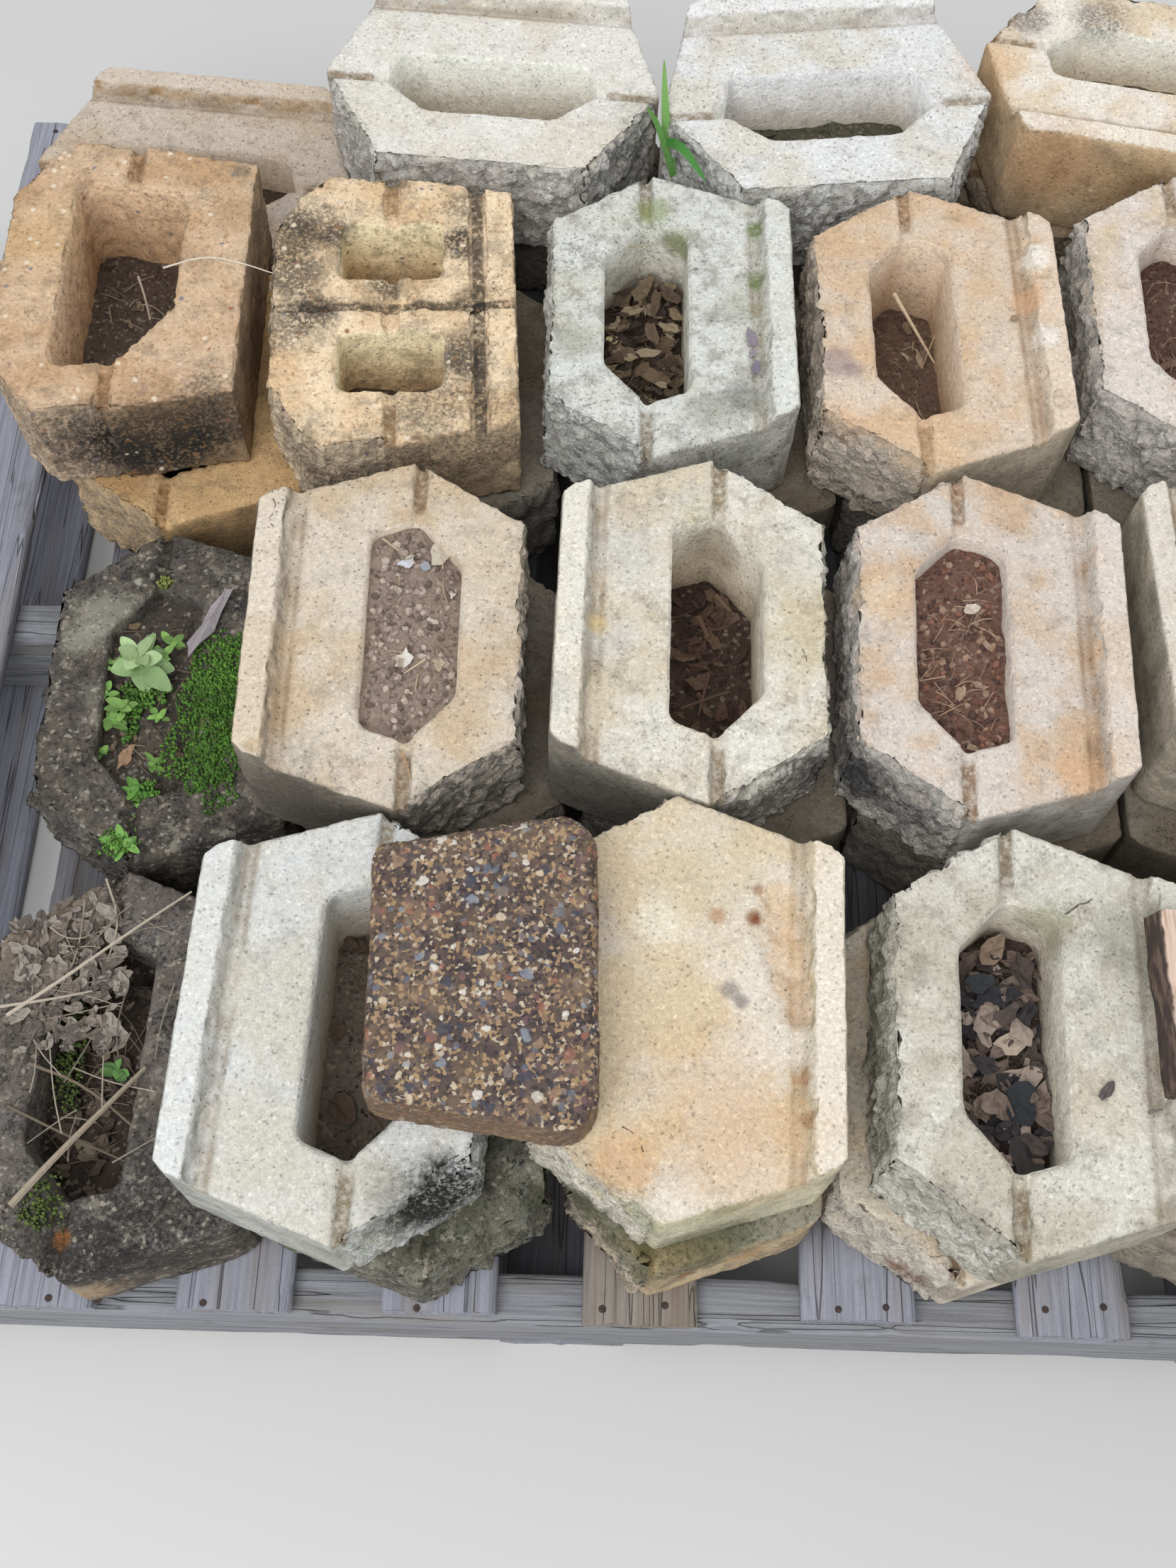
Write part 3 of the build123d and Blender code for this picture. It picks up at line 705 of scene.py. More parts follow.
def concrete(name, number):
    """Recipe of one block: sandy face, pores painted dark as painted shade, grooves darker with dust and
    painted shade, grey broken stone where split with painted light and shade on its relief, core walls
    painted lighter as painted light, own marks.
    """
    _, kind, pale, warm, flank, grime, _ = blocks[name]
    shift, coarse = 1.7 * number, kind in tan
    turned, middle = stands(name)
    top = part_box(name)[0][2] + block_height
    rear = -outlines[kind][:, 0].min()

    def recipe():
        where = place()
        off = where - (*middle, 0.0)
        ahead, across = along(off, (*turned[:, 0], 0.0)), along(off, (*turned[:, 1], 0.0))
        below = top - axis(where, 2)
        up = axis(place("Normal"), 2).step(0.2, 0.75)
        ragged = noise(0.006, 4, shift + 8, rough=0.7)
        cloud = noise(0.11, 3, shift) * 0.6 + noise(0.035, 4, shift + 3) * 0.4
        colour = mixed(shade(*pale), shade(*warm), cloud.step(0.42, 0.60))
        side = mixed(shade(*flank), scaled(flank, 0.80), noise(0.03, 4, shift + 5).step(0.35, 0.7))
        core = (1 - abs(ahead).step(0.045, 0.056)) * (1 - abs(across).step(0.099, 0.108))
        depth = (below + 0.06 * ragged).step(0.03, 0.12)
        # Core walls: painted lighter than the block's own pale colour near the top, as painted light in the
        # shaded cores, and darker and browner towards the soil.
        wall = mixed(scaled(pale, 1.18), scaled(pale, 0.98, 0.92, 0.84), depth)
        side = side.to(wall, core * 0.85)
        colour = side.to(colour, up)
        sand, grit = noise(0.0018, 2, shift, rough=0.7), noise(0.0042, 3, shift + 2, rough=0.65)
        split = Field.node("Attribute", output="Fac", attribute_name="split")
        hollow = Field.node("Attribute", output="Fac", attribute_name="hollow")
        lump = axis(grains(0.0052, shift=shift + 7), 0)
        grey = 0.25 if coarse else 0.38
        dull = shade(*(f * (1 - grey) + g * grey for f, g in zip(flank, (158, 157, 156))))
        fresh = shade(*(p * (1 - grey * 0.5) + 190 * grey * 0.5 for p in pale))
        broken = mixed(dull, fresh, lump.step(0.35, 0.9))
        broken = broken.to(shade(104, 102, 100), (1 - lump.step(0.08, 0.14)) * 0.4)
        # Broken faces painted lighter on their raised facets and darker in their hollows: painted light and
        # shade on their relief, partly dirt in the hollows.
        broken = broken * (1.42 - 0.55 * hollow)
        colour = colour.to(broken, split * (1 - 0.85 * up) * 0.92)
        damp = noise(0.02, 6, shift + 9, rough=0.74)
        colour = colour.to(shade(96, 88, 78), (damp + 0.14 * grime).step(0.53, 0.70) * (0.16 + 0.6 * grime))
        mould = noise(0.0032, 3, shift + 11, rough=0.7) + 0.4 * noise(0.045, 2, shift + 4)
        colour = colour.to(shade(40, 39, 38), (mould + 0.1 * grime).step(0.86, 0.92) * (0.1 + 0.8 * grime))
        brown = scaled(warm, 0.66, 0.60, 0.52)
        sunk = below.step(0.0012, 0.0030) * (1 - below.step(0.009, 0.016))
        if kind != "solid":
            # The cross groove is painted darker and browner: partly dust, partly painted shade in the
            # groove.
            groove = (1 - abs(ahead).step(0.0038, 0.0062)) * sunk * (1 - core)
            colour = colour.to(brown, groove * (0.25 + 0.65 * ragged.step(0.32, 0.62)))
        if kind in lipped:
            # The gutter beside the lip is painted darker and browner, most at its two edges: partly dust,
            # partly painted shade in the gutter and at the foot of the lip.
            aside = abs(ahead + (rear - 0.0315))
            edges, floor_of_it = 1 - abs(aside - 0.0034).step(0.0006, 0.0030), 1 - aside.step(0.003, 0.009)
            gutter = (edges * 0.24 + floor_of_it * 0.48) * (1 - below.step(0.004, 0.008))
            colour = colour.to(brown, gutter * (0.2 + 0.7 * noise(0.05, 3, shift + 6).step(0.34, 0.6)))
            worn = (0 - below).step(0.0085, 0.0115)
            colour = colour.to(shade(*(min(255, 1.04 * p + 4) for p in pale)), worn * 0.5)
        if kind == "two":
            # This block's grooves are painted dark: partly dirt, partly painted shade in the grooves.
            lines = (1 - abs(across).step(0.0038, 0.0062)) + (1 - abs(ahead + 0.072).step(0.0038, 0.0062))
            colour = colour.to(shade(58, 50, 42), lines * sunk * ragged.step(0.3, 0.55) * 0.85)
        colour = cracked(stained_and_shaded(colour, name, where, ragged, mould), name, where)
        colour = colour * (0.34 + 0.72 * sand + 0.60 * grit)
        pick, other = axis(grains(0.0018, shift=shift), 0), axis(grains(0.0021, shift=shift + 4), 1)
        colour = colour * (1 - 0.32 * pick.step(0.955, 0.975)) * (1 + 0.16 * other.step(0.92, 0.95))
        if grime > 0.8:
            colour = crusted(colour, shift)
        if coarse:
            colour = gravelly(colour, shift, grit)
        # Pores painted dark: painted shade in the small holes.
        pore = 1 - grains(0.0062, "Distance", shift + 1).step(0.07, 0.17)
        pore = pore * axis(grains(0.0062, shift=shift + 1), 2).step(0.74, 0.78)
        colour = colour.to(scaled(warm, 0.5), pore * 0.45)
        chipped = 0.0045 * noise(0.0042, 4, shift + 3, rough=0.65) + 0.0022 * lump
        height = 0.0005 * sand + 0.0009 * grit - 0.0010 * pore + split * chipped
        return colour, 0.93, height
    return recipe


fine_face, coarse_face = 0.0028, 0.0055
for number, name in enumerate(blocks):
    kind, shown = blocks[name][1], name.startswith("upper") or name in open_tops
    mesh = worn_block(name, 10 * number, fine_face if shown else coarse_face)
    block = thinned("worn_" + name, mesh, 0.36 if shown else 0.5)
    block.data.materials.append(paint("concrete_" + name, concrete(name, number)))
    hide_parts(name)
    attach(block, "root")
    "tan_concrete" if kind in ("wide", "two") else "wall_block_concrete"


# Cobble paver: a trapezoid of coarse concrete, with round stones washed bare on top and brown, pitted sides.
# It lies loose on two blocks. It is a fine copy of its solid, pitted and with its edges worn round.
def stones(size, shift, output="Color"):
    """Uneven stones of about that size: a random colour for each, or the distance from its middle."""
    bend = Field.node("TexNoise", {"Vector": place(), "Scale": 1.2 / size, "Detail": 2.0}, "Color") - 0.5
    where = place() + bend * (0.9 * size) + shift
    return Field.node("TexVoronoi", {"Vector": where, "Scale": 1 / size}, output)


# Share of the stones from which each colour starts, and that colour.
stone_tones = [(0.26, (150, 122, 100)), (0.40, (126, 114, 108)), (0.52, (88, 78, 78)),
               (0.62, (148, 100, 84)), (0.72, (112, 88, 88)), (0.82, (204, 186, 158)),
               (0.88, (134, 138, 146)), (0.94, (220, 212, 200))]


def cobble():
    fine = stones(0.0024, 0.0)
    colour = mixed(shade(116, 98, 86), shade(84, 72, 70), noise(0.03, 3).step(0.38, 0.62))
    colour = colour.to(shade(176, 146, 110), axis(fine, 0).step(0.68, 0.72) * 0.8)
    colour = colour.to(shade(60, 54, 56), (1 - axis(fine, 1).step(0.30, 0.34)) * 0.8)
    colour = colour.to(shade(204, 190, 168), axis(fine, 2).step(0.92, 0.94) * 0.8)
    for size, shift, share in ((0.0060, 3.0, 0.55), (0.0100, 9.0, 0.66)):
        cell, reach = stones(size, shift), stones(size, shift, "Distance")
        tint = mixed(shade(104, 108, 118), shade(74, 74, 84), axis(cell, 1).step(0.12, 0.13))
        for start, tone in stone_tones:
            tint = tint.to(shade(*tone), axis(cell, 1).step(start, start + 0.01))
        shape = (1 - reach.step(0.32, 0.46)) * axis(cell, 0).step(share, share + 0.02)
        colour = colour.to(tint * (0.8 + 0.4 * noise(0.003, 2, shift)), shape * 0.9)
    dirt = noise(0.03, 4, 5).step(0.5, 0.66)
    flat = axis(place("Normal"), 2).step(0.2, 0.7)
    colour = colour.to(shade(122, 98, 76), (1 - flat) * 0.7).to(shade(172, 142, 104), dirt * 0.2)
    height = 0.0014 * noise(0.004, 3)
    height = height - 0.0014 * stones(0.006, 3.0, "Distance") - 0.0012 * stones(0.01, 9.0, "Distance")
    return colour * 0.88, 0.85, height


paver_mesh = remeshed("cobble_paver", 0.0026)
point, normal = points_of(paver_mesh)
edge = ramp(np.abs(normal[:, 2]), 0.05, 0.3) * (1 - ramp(np.abs(normal[:, 2]), 0.9, 0.99))
wear = 0.0010 + 0.0010 * lumps(point, 0.03, 1) + 0.0007 * facets(point, 0.009, 2)
wear += 0.0006 * facets(point, 0.005, 3)
wear += edge * (0.0012 + 0.0025 * ramp(lumps(point, 0.012, 4), 0.2, 0.8))
wear += 0.0018 * ramp(lumps(point, 0.006, 5), 0.55, 0.9)
paver_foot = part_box("cobble_paver")[0][2]
resting = ramp(point[:, 2], paver_foot, paver_foot + 0.001)
point -= normal * (np.maximum(wear, 0) * resting)[:, None]
paver_mesh.vertices.foreach_set("co", np.ascontiguousarray(point).ravel())
paver_mesh.update()
paver = thinned("worn_cobble_paver", paver_mesh, 0.8)
paver.data.materials.append(paint("cobble", cobble))
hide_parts("cobble_paver")
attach(paver, "root")


# Timber offcut: a short end of softwood with a fresh, pinkish sawn face and dark bark along its waney edge.
# It lies loose on the raised lips of two blocks, and is drawn like the pallet boards, with one edge leaning.
bark_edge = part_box("timber_offcut")[0][0] + 0.009


def sawn():
    line = noise(0.003, 4, 3, (1, 22, 1), 0.6)
    bark_grain = noise(0.004, 4, 1, (1, 5, 1))
    colour = mixed(shade(212, 188, 170), shade(176, 146, 124), line.step(0.42, 0.66))
    colour = colour.to(shade(132, 112, 98), noise(0.03, 3).step(0.55, 0.7) * 0.5)
    bark = 1 - (axis(place(), 0) + 0.004 * noise(0.01, 3)).step(bark_edge + 0.0015, bark_edge + 0.0035)
    colour = colour.to(mixed(shade(66, 56, 52), shade(104, 88, 76), bark_grain.step(0.45, 0.65)), bark)
    return colour, 0.88, 0.0008 * line + 0.002 * bark * bark_grain


offcut_mesh = worn_timber("timber_offcut", 1, 140)
low, high = (np.array(c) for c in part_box("timber_offcut"))
point = points_of(offcut_mesh)[0]
rise = (point[:, 2] - low[2]) / (high[2] - low[2])
waney = 0.010 * rise ** 2 + 0.0015 * (1 + lumps(point, 0.012, 3))
point[:, 0] += (1 - ramp(point[:, 0], low[0], low[0] + 0.02)) * waney
offcut_mesh.vertices.foreach_set("co", np.ascontiguousarray(point).ravel())
offcut_mesh.materials.append(paint("sawn", sawn))
offcut = bpy.data.objects.new("worn_timber_offcut", offcut_mesh)
collection.objects.link(offcut)
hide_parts("timber_offcut")
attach(offcut, "root")


# Soil in the cores: washed-in earth and rotted leaves, lumpy on top, at its own level in each core.
# It is a grid of small faces over the core's plan, and only what lies within the plan is kept.
class Heap:
    """Many small pieces gathered into one mesh, each point with its own colour."""

    def __init__(self):
        self.points, self.faces, self.tones = [], [], []

    def add(self, points, faces, tone):
        start = len(self.points)
        self.points += [tuple(p) for p in points]
        self.faces += [tuple(start + i for i in f) for f in faces]
        self.tones += [shade(*tone)] * len(points)

    def finish(self, name, material, smooth=True):
        mesh = bpy.data.meshes.new(name)
        mesh.from_pydata(self.points, [], self.faces)
        tones = mesh.attributes.new("tone", "FLOAT_COLOR", "POINT")
        tones.data.foreach_set("color", np.array(self.tones, np.float32).ravel())
        if smooth:
            mesh.shade_smooth()
        mesh.materials.append(material)
        made = bpy.data.objects.new(name, mesh)
        collection.objects.link(made)
        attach(made, "root")


core_plan = both_sides([(34, 57), (0, 95), (-35, 83)])
core_plans = {"standard": [core_plan], "plain": [core_plan], "deep_front": [core_plan]}
core_plans["deep"] = [both_sides([(34, 57), (0, 95), (-46, 83)])]
core_plans["wide"] = [np.array([(46, -100), (46, 100), (-8, 88), (-46, 38), (-46, -83)]) / 1000]
cell = np.array([(42, 29), (42, -29), (-42, -29), (-42, 29)])
core_plans["two"] = [(cell + (0, middle)) / 1000 for middle in (-58, 58)]
# Level of the middle in mm, rise towards the front and along the block, lumpiness in mm, colour.
soils = {
    "upper_row1_block2": (228, 0, 0, 3, (128, 116, 104)),
    "upper_row1_block4": (254, 0, 0.04, 5, (92, 78, 70)), "upper_row1_block5": (250, 0, 0, 4, (96, 82, 70)),
    "upper_row2_block2": (301, -0.10, 0.02, 3, (164, 144, 130)),
    "upper_row2_block3": (226, 0, 0, 3, (88, 72, 64)), "upper_row2_block4": (294, 0, 0, 4, (130, 98, 84)),
    "upper_row2_block5": (262, 0, 0, 4, (112, 90, 74)),
    "upper_row3_block1": (232, 0, 0.05, 4, (96, 82, 72)), "upper_row3_block2": (240, 0, 0, 3, (96, 80, 66)),
    "upper_row3_block3": (242, 0, 0, 7, (82, 68, 58)),
    "upper_row3_block4": (232, -0.1, 0.06, 4, (124, 100, 86)),
    "upper_row3_block5": (272, 0, 0, 4, (112, 84, 72)), "upper_row4_block2": (246, 0, 0, 3, (120, 114, 98)),
    "upper_row4_block3": (256, 0.1, 0, 4, (104, 100, 82)),
    "upper_row4_block4": (256, 0, 0, 3, (112, 98, 80)),
    "lower_row1_block1": (176, -0.12, 0, 6, (72, 62, 54)),
    "lower_row2_block1": (203, 0, 0.03, 4, (94, 86, 76)), "lower_row4_block1": (176, 0, 0, 3, (96, 82, 68)),
}


def soil_height(where, name):
    """Height of the soil in metres at places in the block's own plan."""
    level, rise_ahead, rise_across, lump, _ = soils[name]
    seed = 900 + 10 * list(soils).index(name)
    flat = np.column_stack((where, np.zeros(len(where))))
    height = level / 1000 + rise_ahead * where[:, 0] + rise_across * where[:, 1]
    rough = lumps(flat, 0.03, seed) + 0.5 * lumps(flat, 0.011, seed + 1)
    rough += 0.35 * lumps(flat, 0.0055, seed + 2)
    return height + lump / 1000 * rough


def inside(where, plan, margin):
    """Which places lie within the plan grown by the margin."""
    held, middle = np.ones(len(where), bool), plan.mean(axis=0)
    for a, b in zip(plan, np.roll(plan, -1, axis=0)):
        out = np.array([(b - a)[1], -(b - a)[0]]) / np.linalg.norm(b - a)
        out *= np.sign((a - middle) @ out)
        held &= (where - a) @ out < margin
    return held


def on_soil(name, rng, count, spread=1.0):
    """Random places on the soil of a block's cores."""
    turned, middle = stands(name)
    plans, spots = core_plans[blocks[name][1]], []
    while len(spots) < count:
        plan = plans[rng.integers(len(plans))]
        low, high = plan.min(axis=0), plan.max(axis=0)
        spot = (low + high) / 2 + rng.uniform(-0.5, 0.5, 2) * (high - low) * spread
        if inside(spot[None], plan, -0.004)[0]:
            spots.append(np.array([*(turned @ spot + middle), soil_height(spot[None], name)[0]]))
    return spots


earth, soil_pitch, soil_overlap = Heap(), 0.003, 0.004
for name in soils:
    turned, middle = stands(name)
    for plan in core_plans[blocks[name][1]]:
        low, high = plan.min(axis=0) - soil_overlap, plan.max(axis=0) + soil_overlap
        ahead, across = np.arange(low[0], high[0], soil_pitch), np.arange(low[1], high[1], soil_pitch)
        grid = np.stack(np.meshgrid(ahead, across, indexing="ij"), -1).reshape(-1, 2)
        kept = inside(grid, plan, soil_overlap)
        order = -np.ones(len(grid), int)
        order[kept] = np.arange(kept.sum())
        order = order.reshape(len(ahead), len(across))
        quads = np.stack((order[:-1, :-1], order[1:, :-1], order[1:, 1:], order[:-1, 1:]), -1).reshape(-1, 4)
        spots = grid[kept]
        earth.add(np.column_stack((spots @ turned.T + middle, soil_height(spots, name))),
                  quads[quads.min(axis=1) >= 0].tolist(), soils[name][4])


def crumbly():
    tone = Field.node("Attribute", output="Color", attribute_name="tone")
    crumb, speck = noise(0.004, 5, rough=0.72), grains(0.0028)
    colour = tone * (0.20 + 1.6 * crumb)
    colour = colour.to(shade(176, 162, 142), axis(speck, 0).step(0.90, 0.93) * 0.5)
    colour = colour.to(shade(38, 32, 30), (1 - axis(speck, 1).step(0.10, 0.14)) * 0.4)
    return colour, 0.97, 0.004 * crumb + 0.002 * noise(0.0018, 2)


earth.finish("soil_in_cores", paint("soil", crumbly))


# Dead litter on the soil and blocks: gravel, crumbs, flakes of bark and leaf, straws and sticks.
# It is one mesh of small loose pieces, scattered on the soil or laid where the photograph shows them.
def toned(contrast, size, rough):
    """Recipe for pieces that carry their own colour, broken by noise of the given size."""
    def recipe():
        mottle = noise(size, 4, rough=0.65)
        tone = Field.node("Attribute", output="Color", attribute_name="tone")
        return tone * (1 - contrast + 2 * contrast * mottle), rough, 0.25 * size * mottle
    return recipe


def turned_at_random(rng, lean):
    """Random turn about Z, tipped by up to that angle in radians."""
    parts = [Matrix.Rotation(rng.uniform(0, math.tau), 3, "Z")]
    parts += [Matrix.Rotation(rng.uniform(-lean, lean), 3, way) for way in "XY"]
    return np.array(parts[0] @ parts[1] @ parts[2])


def flake(rng, length, width, thick, curl, crumple=0.05):
    """Torn, curled flake of bark or dead leaf, two rings round its middle, with a thickness."""
    around = 11
    angles = np.linspace(0, math.tau, around, endpoint=False)
    reach = 1 + rng.uniform(-0.32, 0.32, around)
    ring = np.column_stack((np.cos(angles) * length / 2, np.sin(angles) * width / 2)) * reach[:, None]
    flat = np.vstack((np.zeros((1, 2)), ring * 0.5, ring))
    bowl = (flat[:, 0] / length * 2) ** 2 + 0.6 * (flat[:, 1] / length * 2) ** 2
    top = np.column_stack((flat, curl * length * bowl + crumple * length * rng.uniform(-1, 1, len(flat))))
    m, faces = len(top), []
    for k in range(around):
        a, b = 1 + k, 1 + (k + 1) % around
        c, d = a + around, b + around
        faces += [(0, a, b), (a, c, d, b), (c, m + c, m + d, d)]
        faces += [(m, m + b, m + a), (m + b, m + d, m + c, m + a)]
    return np.vstack((top, top - (0, 0, thick))), faces


def smooth_line(path):
    """The path with its corners cut twice, and its ends kept."""
    path = np.array(path, float)
    for _ in range(2):
        cuts = [(0.75 * a + 0.25 * b, 0.25 * a + 0.75 * b) for a, b in zip(path, path[1:])]
        path = np.vstack((path[:1], *cuts, path[-1:]))
    return path


def stick(path, radius, tip=0.4, sides=6):
    """Tapering round stick or straw along a smooth line through the path's points."""
    path = smooth_line(path)
    ahead = np.gradient(path, axis=0)
    across = np.cross(ahead, (0.13, 0.21, 0.97))
    other = np.cross(ahead, across)
    across, other = (v / np.linalg.norm(v, axis=1)[:, None] for v in (across, other))
    size = (radius * np.linspace(1, tip, len(path)))[:, None]
    angles = np.arange(sides) * math.tau / sides
    rings = [path + (math.cos(a) * across + math.sin(a) * other) * size for a in angles]
    points = np.stack(rings, 1).reshape(-1, 3)
    faces = [quad for i in range(len(path) - 1) for quad in band(i * sides, (i + 1) * sides, sides)]
    faces += [tuple(range(sides))[::-1], tuple((len(path) - 1) * sides + k for k in range(sides))]
    return points, faces


def varied(rng, tone, least, greatest):
    """The colour, lighter or darker by a random share."""
    share = rng.uniform(least, greatest)
    return [c * share for c in tone]


def one_of(rng, tones):
    return tones[rng.integers(len(tones))]


def pebble(rng, size):
    """Uneven stone or crumb with twenty faces."""
    g = (1 + 5 ** 0.5) / 2
    points = np.array([(-1, g, 0), (1, g, 0), (-1, -g, 0), (1, -g, 0), (0, -1, g), (0, 1, g),
                       (0, -1, -g), (0, 1, -g), (g, 0, -1), (g, 0, 1), (-g, 0, -1), (-g, 0, 1)]) / 1.9
    faces = [(0, 11, 5), (0, 5, 1), (0, 1, 7), (0, 7, 10), (0, 10, 11), (1, 5, 9), (5, 11, 4), (11, 10, 2),
             (10, 7, 6), (7, 1, 8), (3, 9, 4), (3, 4, 2), (3, 2, 6), (3, 6, 8), (3, 8, 9), (4, 9, 5),
             (2, 4, 11), (6, 2, 10), (8, 6, 7), (9, 8, 1)]
    return points * rng.uniform(0.7, 1.2, (12, 1)) * size / 2 * rng.uniform(0.7, 1.1, 3), faces


litter_rng = np.random.default_rng(11)
litter = Heap()
# Gravel and crumbs: block, how many, least and greatest size in mm, colours.
gravels = [
    ("upper_row2_block2", 340, 2, 8.5, [(161, 143, 133), (140, 124, 112), (182, 166, 152), (108, 94, 84)]),
    ("upper_row2_block4", 300, 2, 8, [(132, 94, 78), (108, 76, 64), (156, 128, 108), (84, 64, 58)]),
    ("upper_row3_block5", 90, 2, 6, [(122, 86, 72), (98, 74, 62)]),
    ("upper_row3_block4", 110, 1.5, 5, [(124, 98, 80), (100, 78, 66)]),
    ("upper_row2_block3", 130, 2, 5, [(82, 62, 54), (62, 48, 44)]),
    ("upper_row1_block2", 50, 2, 5, [(84, 72, 62), (62, 54, 50)]),
    ("lower_row2_block1", 150, 1.5, 6, [(112, 106, 98), (146, 140, 130), (74, 68, 62)]),
    ("lower_row1_block1", 110, 2, 7, [(92, 82, 72), (66, 58, 52)]),
    ("upper_row3_block1", 90, 1.5, 5, [(98, 84, 74), (74, 64, 56)]),
    ("upper_row3_block2", 80, 2, 5, [(108, 92, 78), (76, 66, 56)]),
    ("upper_row4_block2", 60, 1.5, 4, [(126, 120, 106)]),
    ("upper_row4_block3", 60, 1.5, 4, [(108, 106, 90)]),
    ("upper_row1_block4", 90, 2, 6, [(98, 84, 76), (70, 62, 58)]),
    ("upper_row3_block3", 80, 2, 5, [(84, 70, 60), (64, 54, 48)]),
]
for name, count, small, large, tones in gravels:
    for spot in on_soil(name, litter_rng, count):
        points, faces = pebble(litter_rng, litter_rng.uniform(small, large) / 1000)
        points = points @ turned_at_random(litter_rng, 0.5).T + spot
        litter.add(points, faces, one_of(litter_rng, tones))
# Bark and dead leaves: block, how many, least and greatest length, height of the pile in mm, colours.
flakes = [
    ("upper_row1_block4", 150, 8, 28, 14, [(104, 90, 82), (132, 116, 106), (156, 140, 128), (84, 74, 70),
                                           (58, 54, 56), (118, 102, 92)]),
    ("upper_row3_block3", 130, 8, 24, 20, [(112, 94, 74), (132, 114, 90), (92, 76, 62), (74, 62, 54),
                                           (148, 132, 108)]),
    ("upper_row2_block2", 6, 8, 16, 2, [(200, 192, 180), (172, 158, 138)]),
    ("upper_row2_block4", 14, 6, 14, 3, [(160, 136, 116), (110, 84, 70)]),
    ("upper_row3_block4", 8, 8, 18, 3, [(168, 148, 124), (132, 112, 94)]),
    ("upper_row1_block2", 10, 14, 30, 4, [(98, 82, 70), (120, 100, 84)]),
    ("upper_row1_block5", 16, 12, 28, 6, [(108, 90, 76), (140, 120, 102)]),
    ("upper_row2_block5", 12, 10, 24, 5, [(120, 98, 80), (148, 128, 108)]),
    ("upper_row3_block5", 14, 6, 16, 4, [(126, 100, 84), (96, 74, 62)]),
    ("upper_row2_block3", 34, 8, 24, 5, [(86, 66, 56), (106, 86, 72), (70, 54, 48)]),
    ("lower_row1_block1", 46, 8, 22, 6, [(98, 86, 74), (120, 108, 92), (74, 64, 56)]),
    ("lower_row2_block1", 22, 6, 16, 4, [(120, 102, 82), (98, 86, 72)]),
    ("upper_row3_block1", 22, 6, 16, 4, [(94, 80, 68), (130, 114, 96)]),
    ("upper_row3_block2", 16, 5, 12, 3, [(110, 94, 78), (86, 74, 62)]),
    ("upper_row4_block3", 12, 6, 14, 3, [(110, 104, 82), (90, 88, 70)]),
    ("upper_row4_block4", 8, 6, 14, 3, [(120, 102, 82)]),
]
for name, count, small, large, pile, tones in flakes:
    for k, spot in enumerate(on_soil(name, litter_rng, count, 0.9)):
        length = litter_rng.uniform(small, large) / 1000
        width, curl = length * litter_rng.uniform(0.3, 0.75), litter_rng.uniform(-0.15, 0.25)
        points, faces = flake(litter_rng, length, width, 0.0007, curl, 0.08)
        lift = 0.002 + pile / 1000 * k / count
        points = points @ turned_at_random(litter_rng, 0.5).T + spot + (0, 0, lift)
        litter.add(points, faces, one_of(litter_rng, tones))
# Straws and fibres: block, how many, greatest length in mm, colour.
straws = [
    ("upper_row3_block1", 18, 46, (150, 138, 116)), ("upper_row3_block3", 60, 40, (136, 118, 96)),
    ("upper_row2_block2", 14, 34, (172, 154, 128)), ("upper_row2_block4", 44, 34, (164, 138, 116)),
    ("upper_row3_block4", 18, 34, (166, 146, 120)), ("upper_row2_block3", 16, 36, (108, 86, 72)),
    ("lower_row1_block1", 40, 60, (116, 104, 88)), ("lower_row2_block1", 26, 36, (124, 110, 92)),
    ("upper_row3_block5", 18, 34, (150, 124, 102)), ("upper_row1_block4", 30, 34, (148, 130, 112)),
    ("upper_row1_block2", 8, 40, (120, 102, 86)), ("upper_row3_block2", 22, 30, (126, 110, 90)),
]
for name, count, length, tone in straws:
    for spot in on_soil(name, litter_rng, count, 0.7):
        run, way = litter_rng.uniform(0.4, 1.0) * length / 1000, litter_rng.uniform(0, math.tau)
        half = np.array([math.cos(way), math.sin(way), 0]) * run * 0.35
        bow = spot + litter_rng.uniform(-1, 1, 3) * run * 0.08 + (0, 0, 0.004)
        points, faces = stick([spot - half, bow, spot + half], litter_rng.uniform(0.0003, 0.0007), 0.6, 4)
        litter.add(points + (0, 0, 0.003), faces, varied(litter_rng, tone, 0.8, 1.15))
# Leaf litter and thin twigs lying on the top of the lower front block, within these pixels.
leaf_tones, twig_tone = ((132, 122, 112), (112, 102, 94), (150, 142, 132), (92, 84, 78)), (156, 146, 132)
turned, middle = stands("lower_row1_block1")
for _ in range(190):
    spot = seen(litter_rng.uniform(20, 175), litter_rng.uniform(1262, 1480), 222.5)
    if inside((spot[None, :2] - middle) @ turned, outlines["plain"], -0.006)[0]:
        length = litter_rng.uniform(0.006, 0.02)
        points, faces = flake(litter_rng, length, length * litter_rng.uniform(0.3, 0.7), 0.0006, 0.15, 0.08)
        tone = one_of(litter_rng, leaf_tones)
        litter.add(points @ turned_at_random(litter_rng, 0.3).T + spot, faces, tone)
for _ in range(26):
    spot = seen(litter_rng.uniform(40, 240), litter_rng.uniform(1280, 1640), 224)
    way = litter_rng.uniform(0, math.tau)
    half = np.array([math.cos(way), math.sin(way), 0.03]) * litter_rng.uniform(0.012, 0.035)
    bow = spot + litter_rng.uniform(-1, 1, 3) * 0.003
    points, faces = stick([spot - half, bow, spot + half], 0.0006, 0.6, 4)
    litter.add(points, faces, varied(litter_rng, twig_tone, 0.75, 1.15))
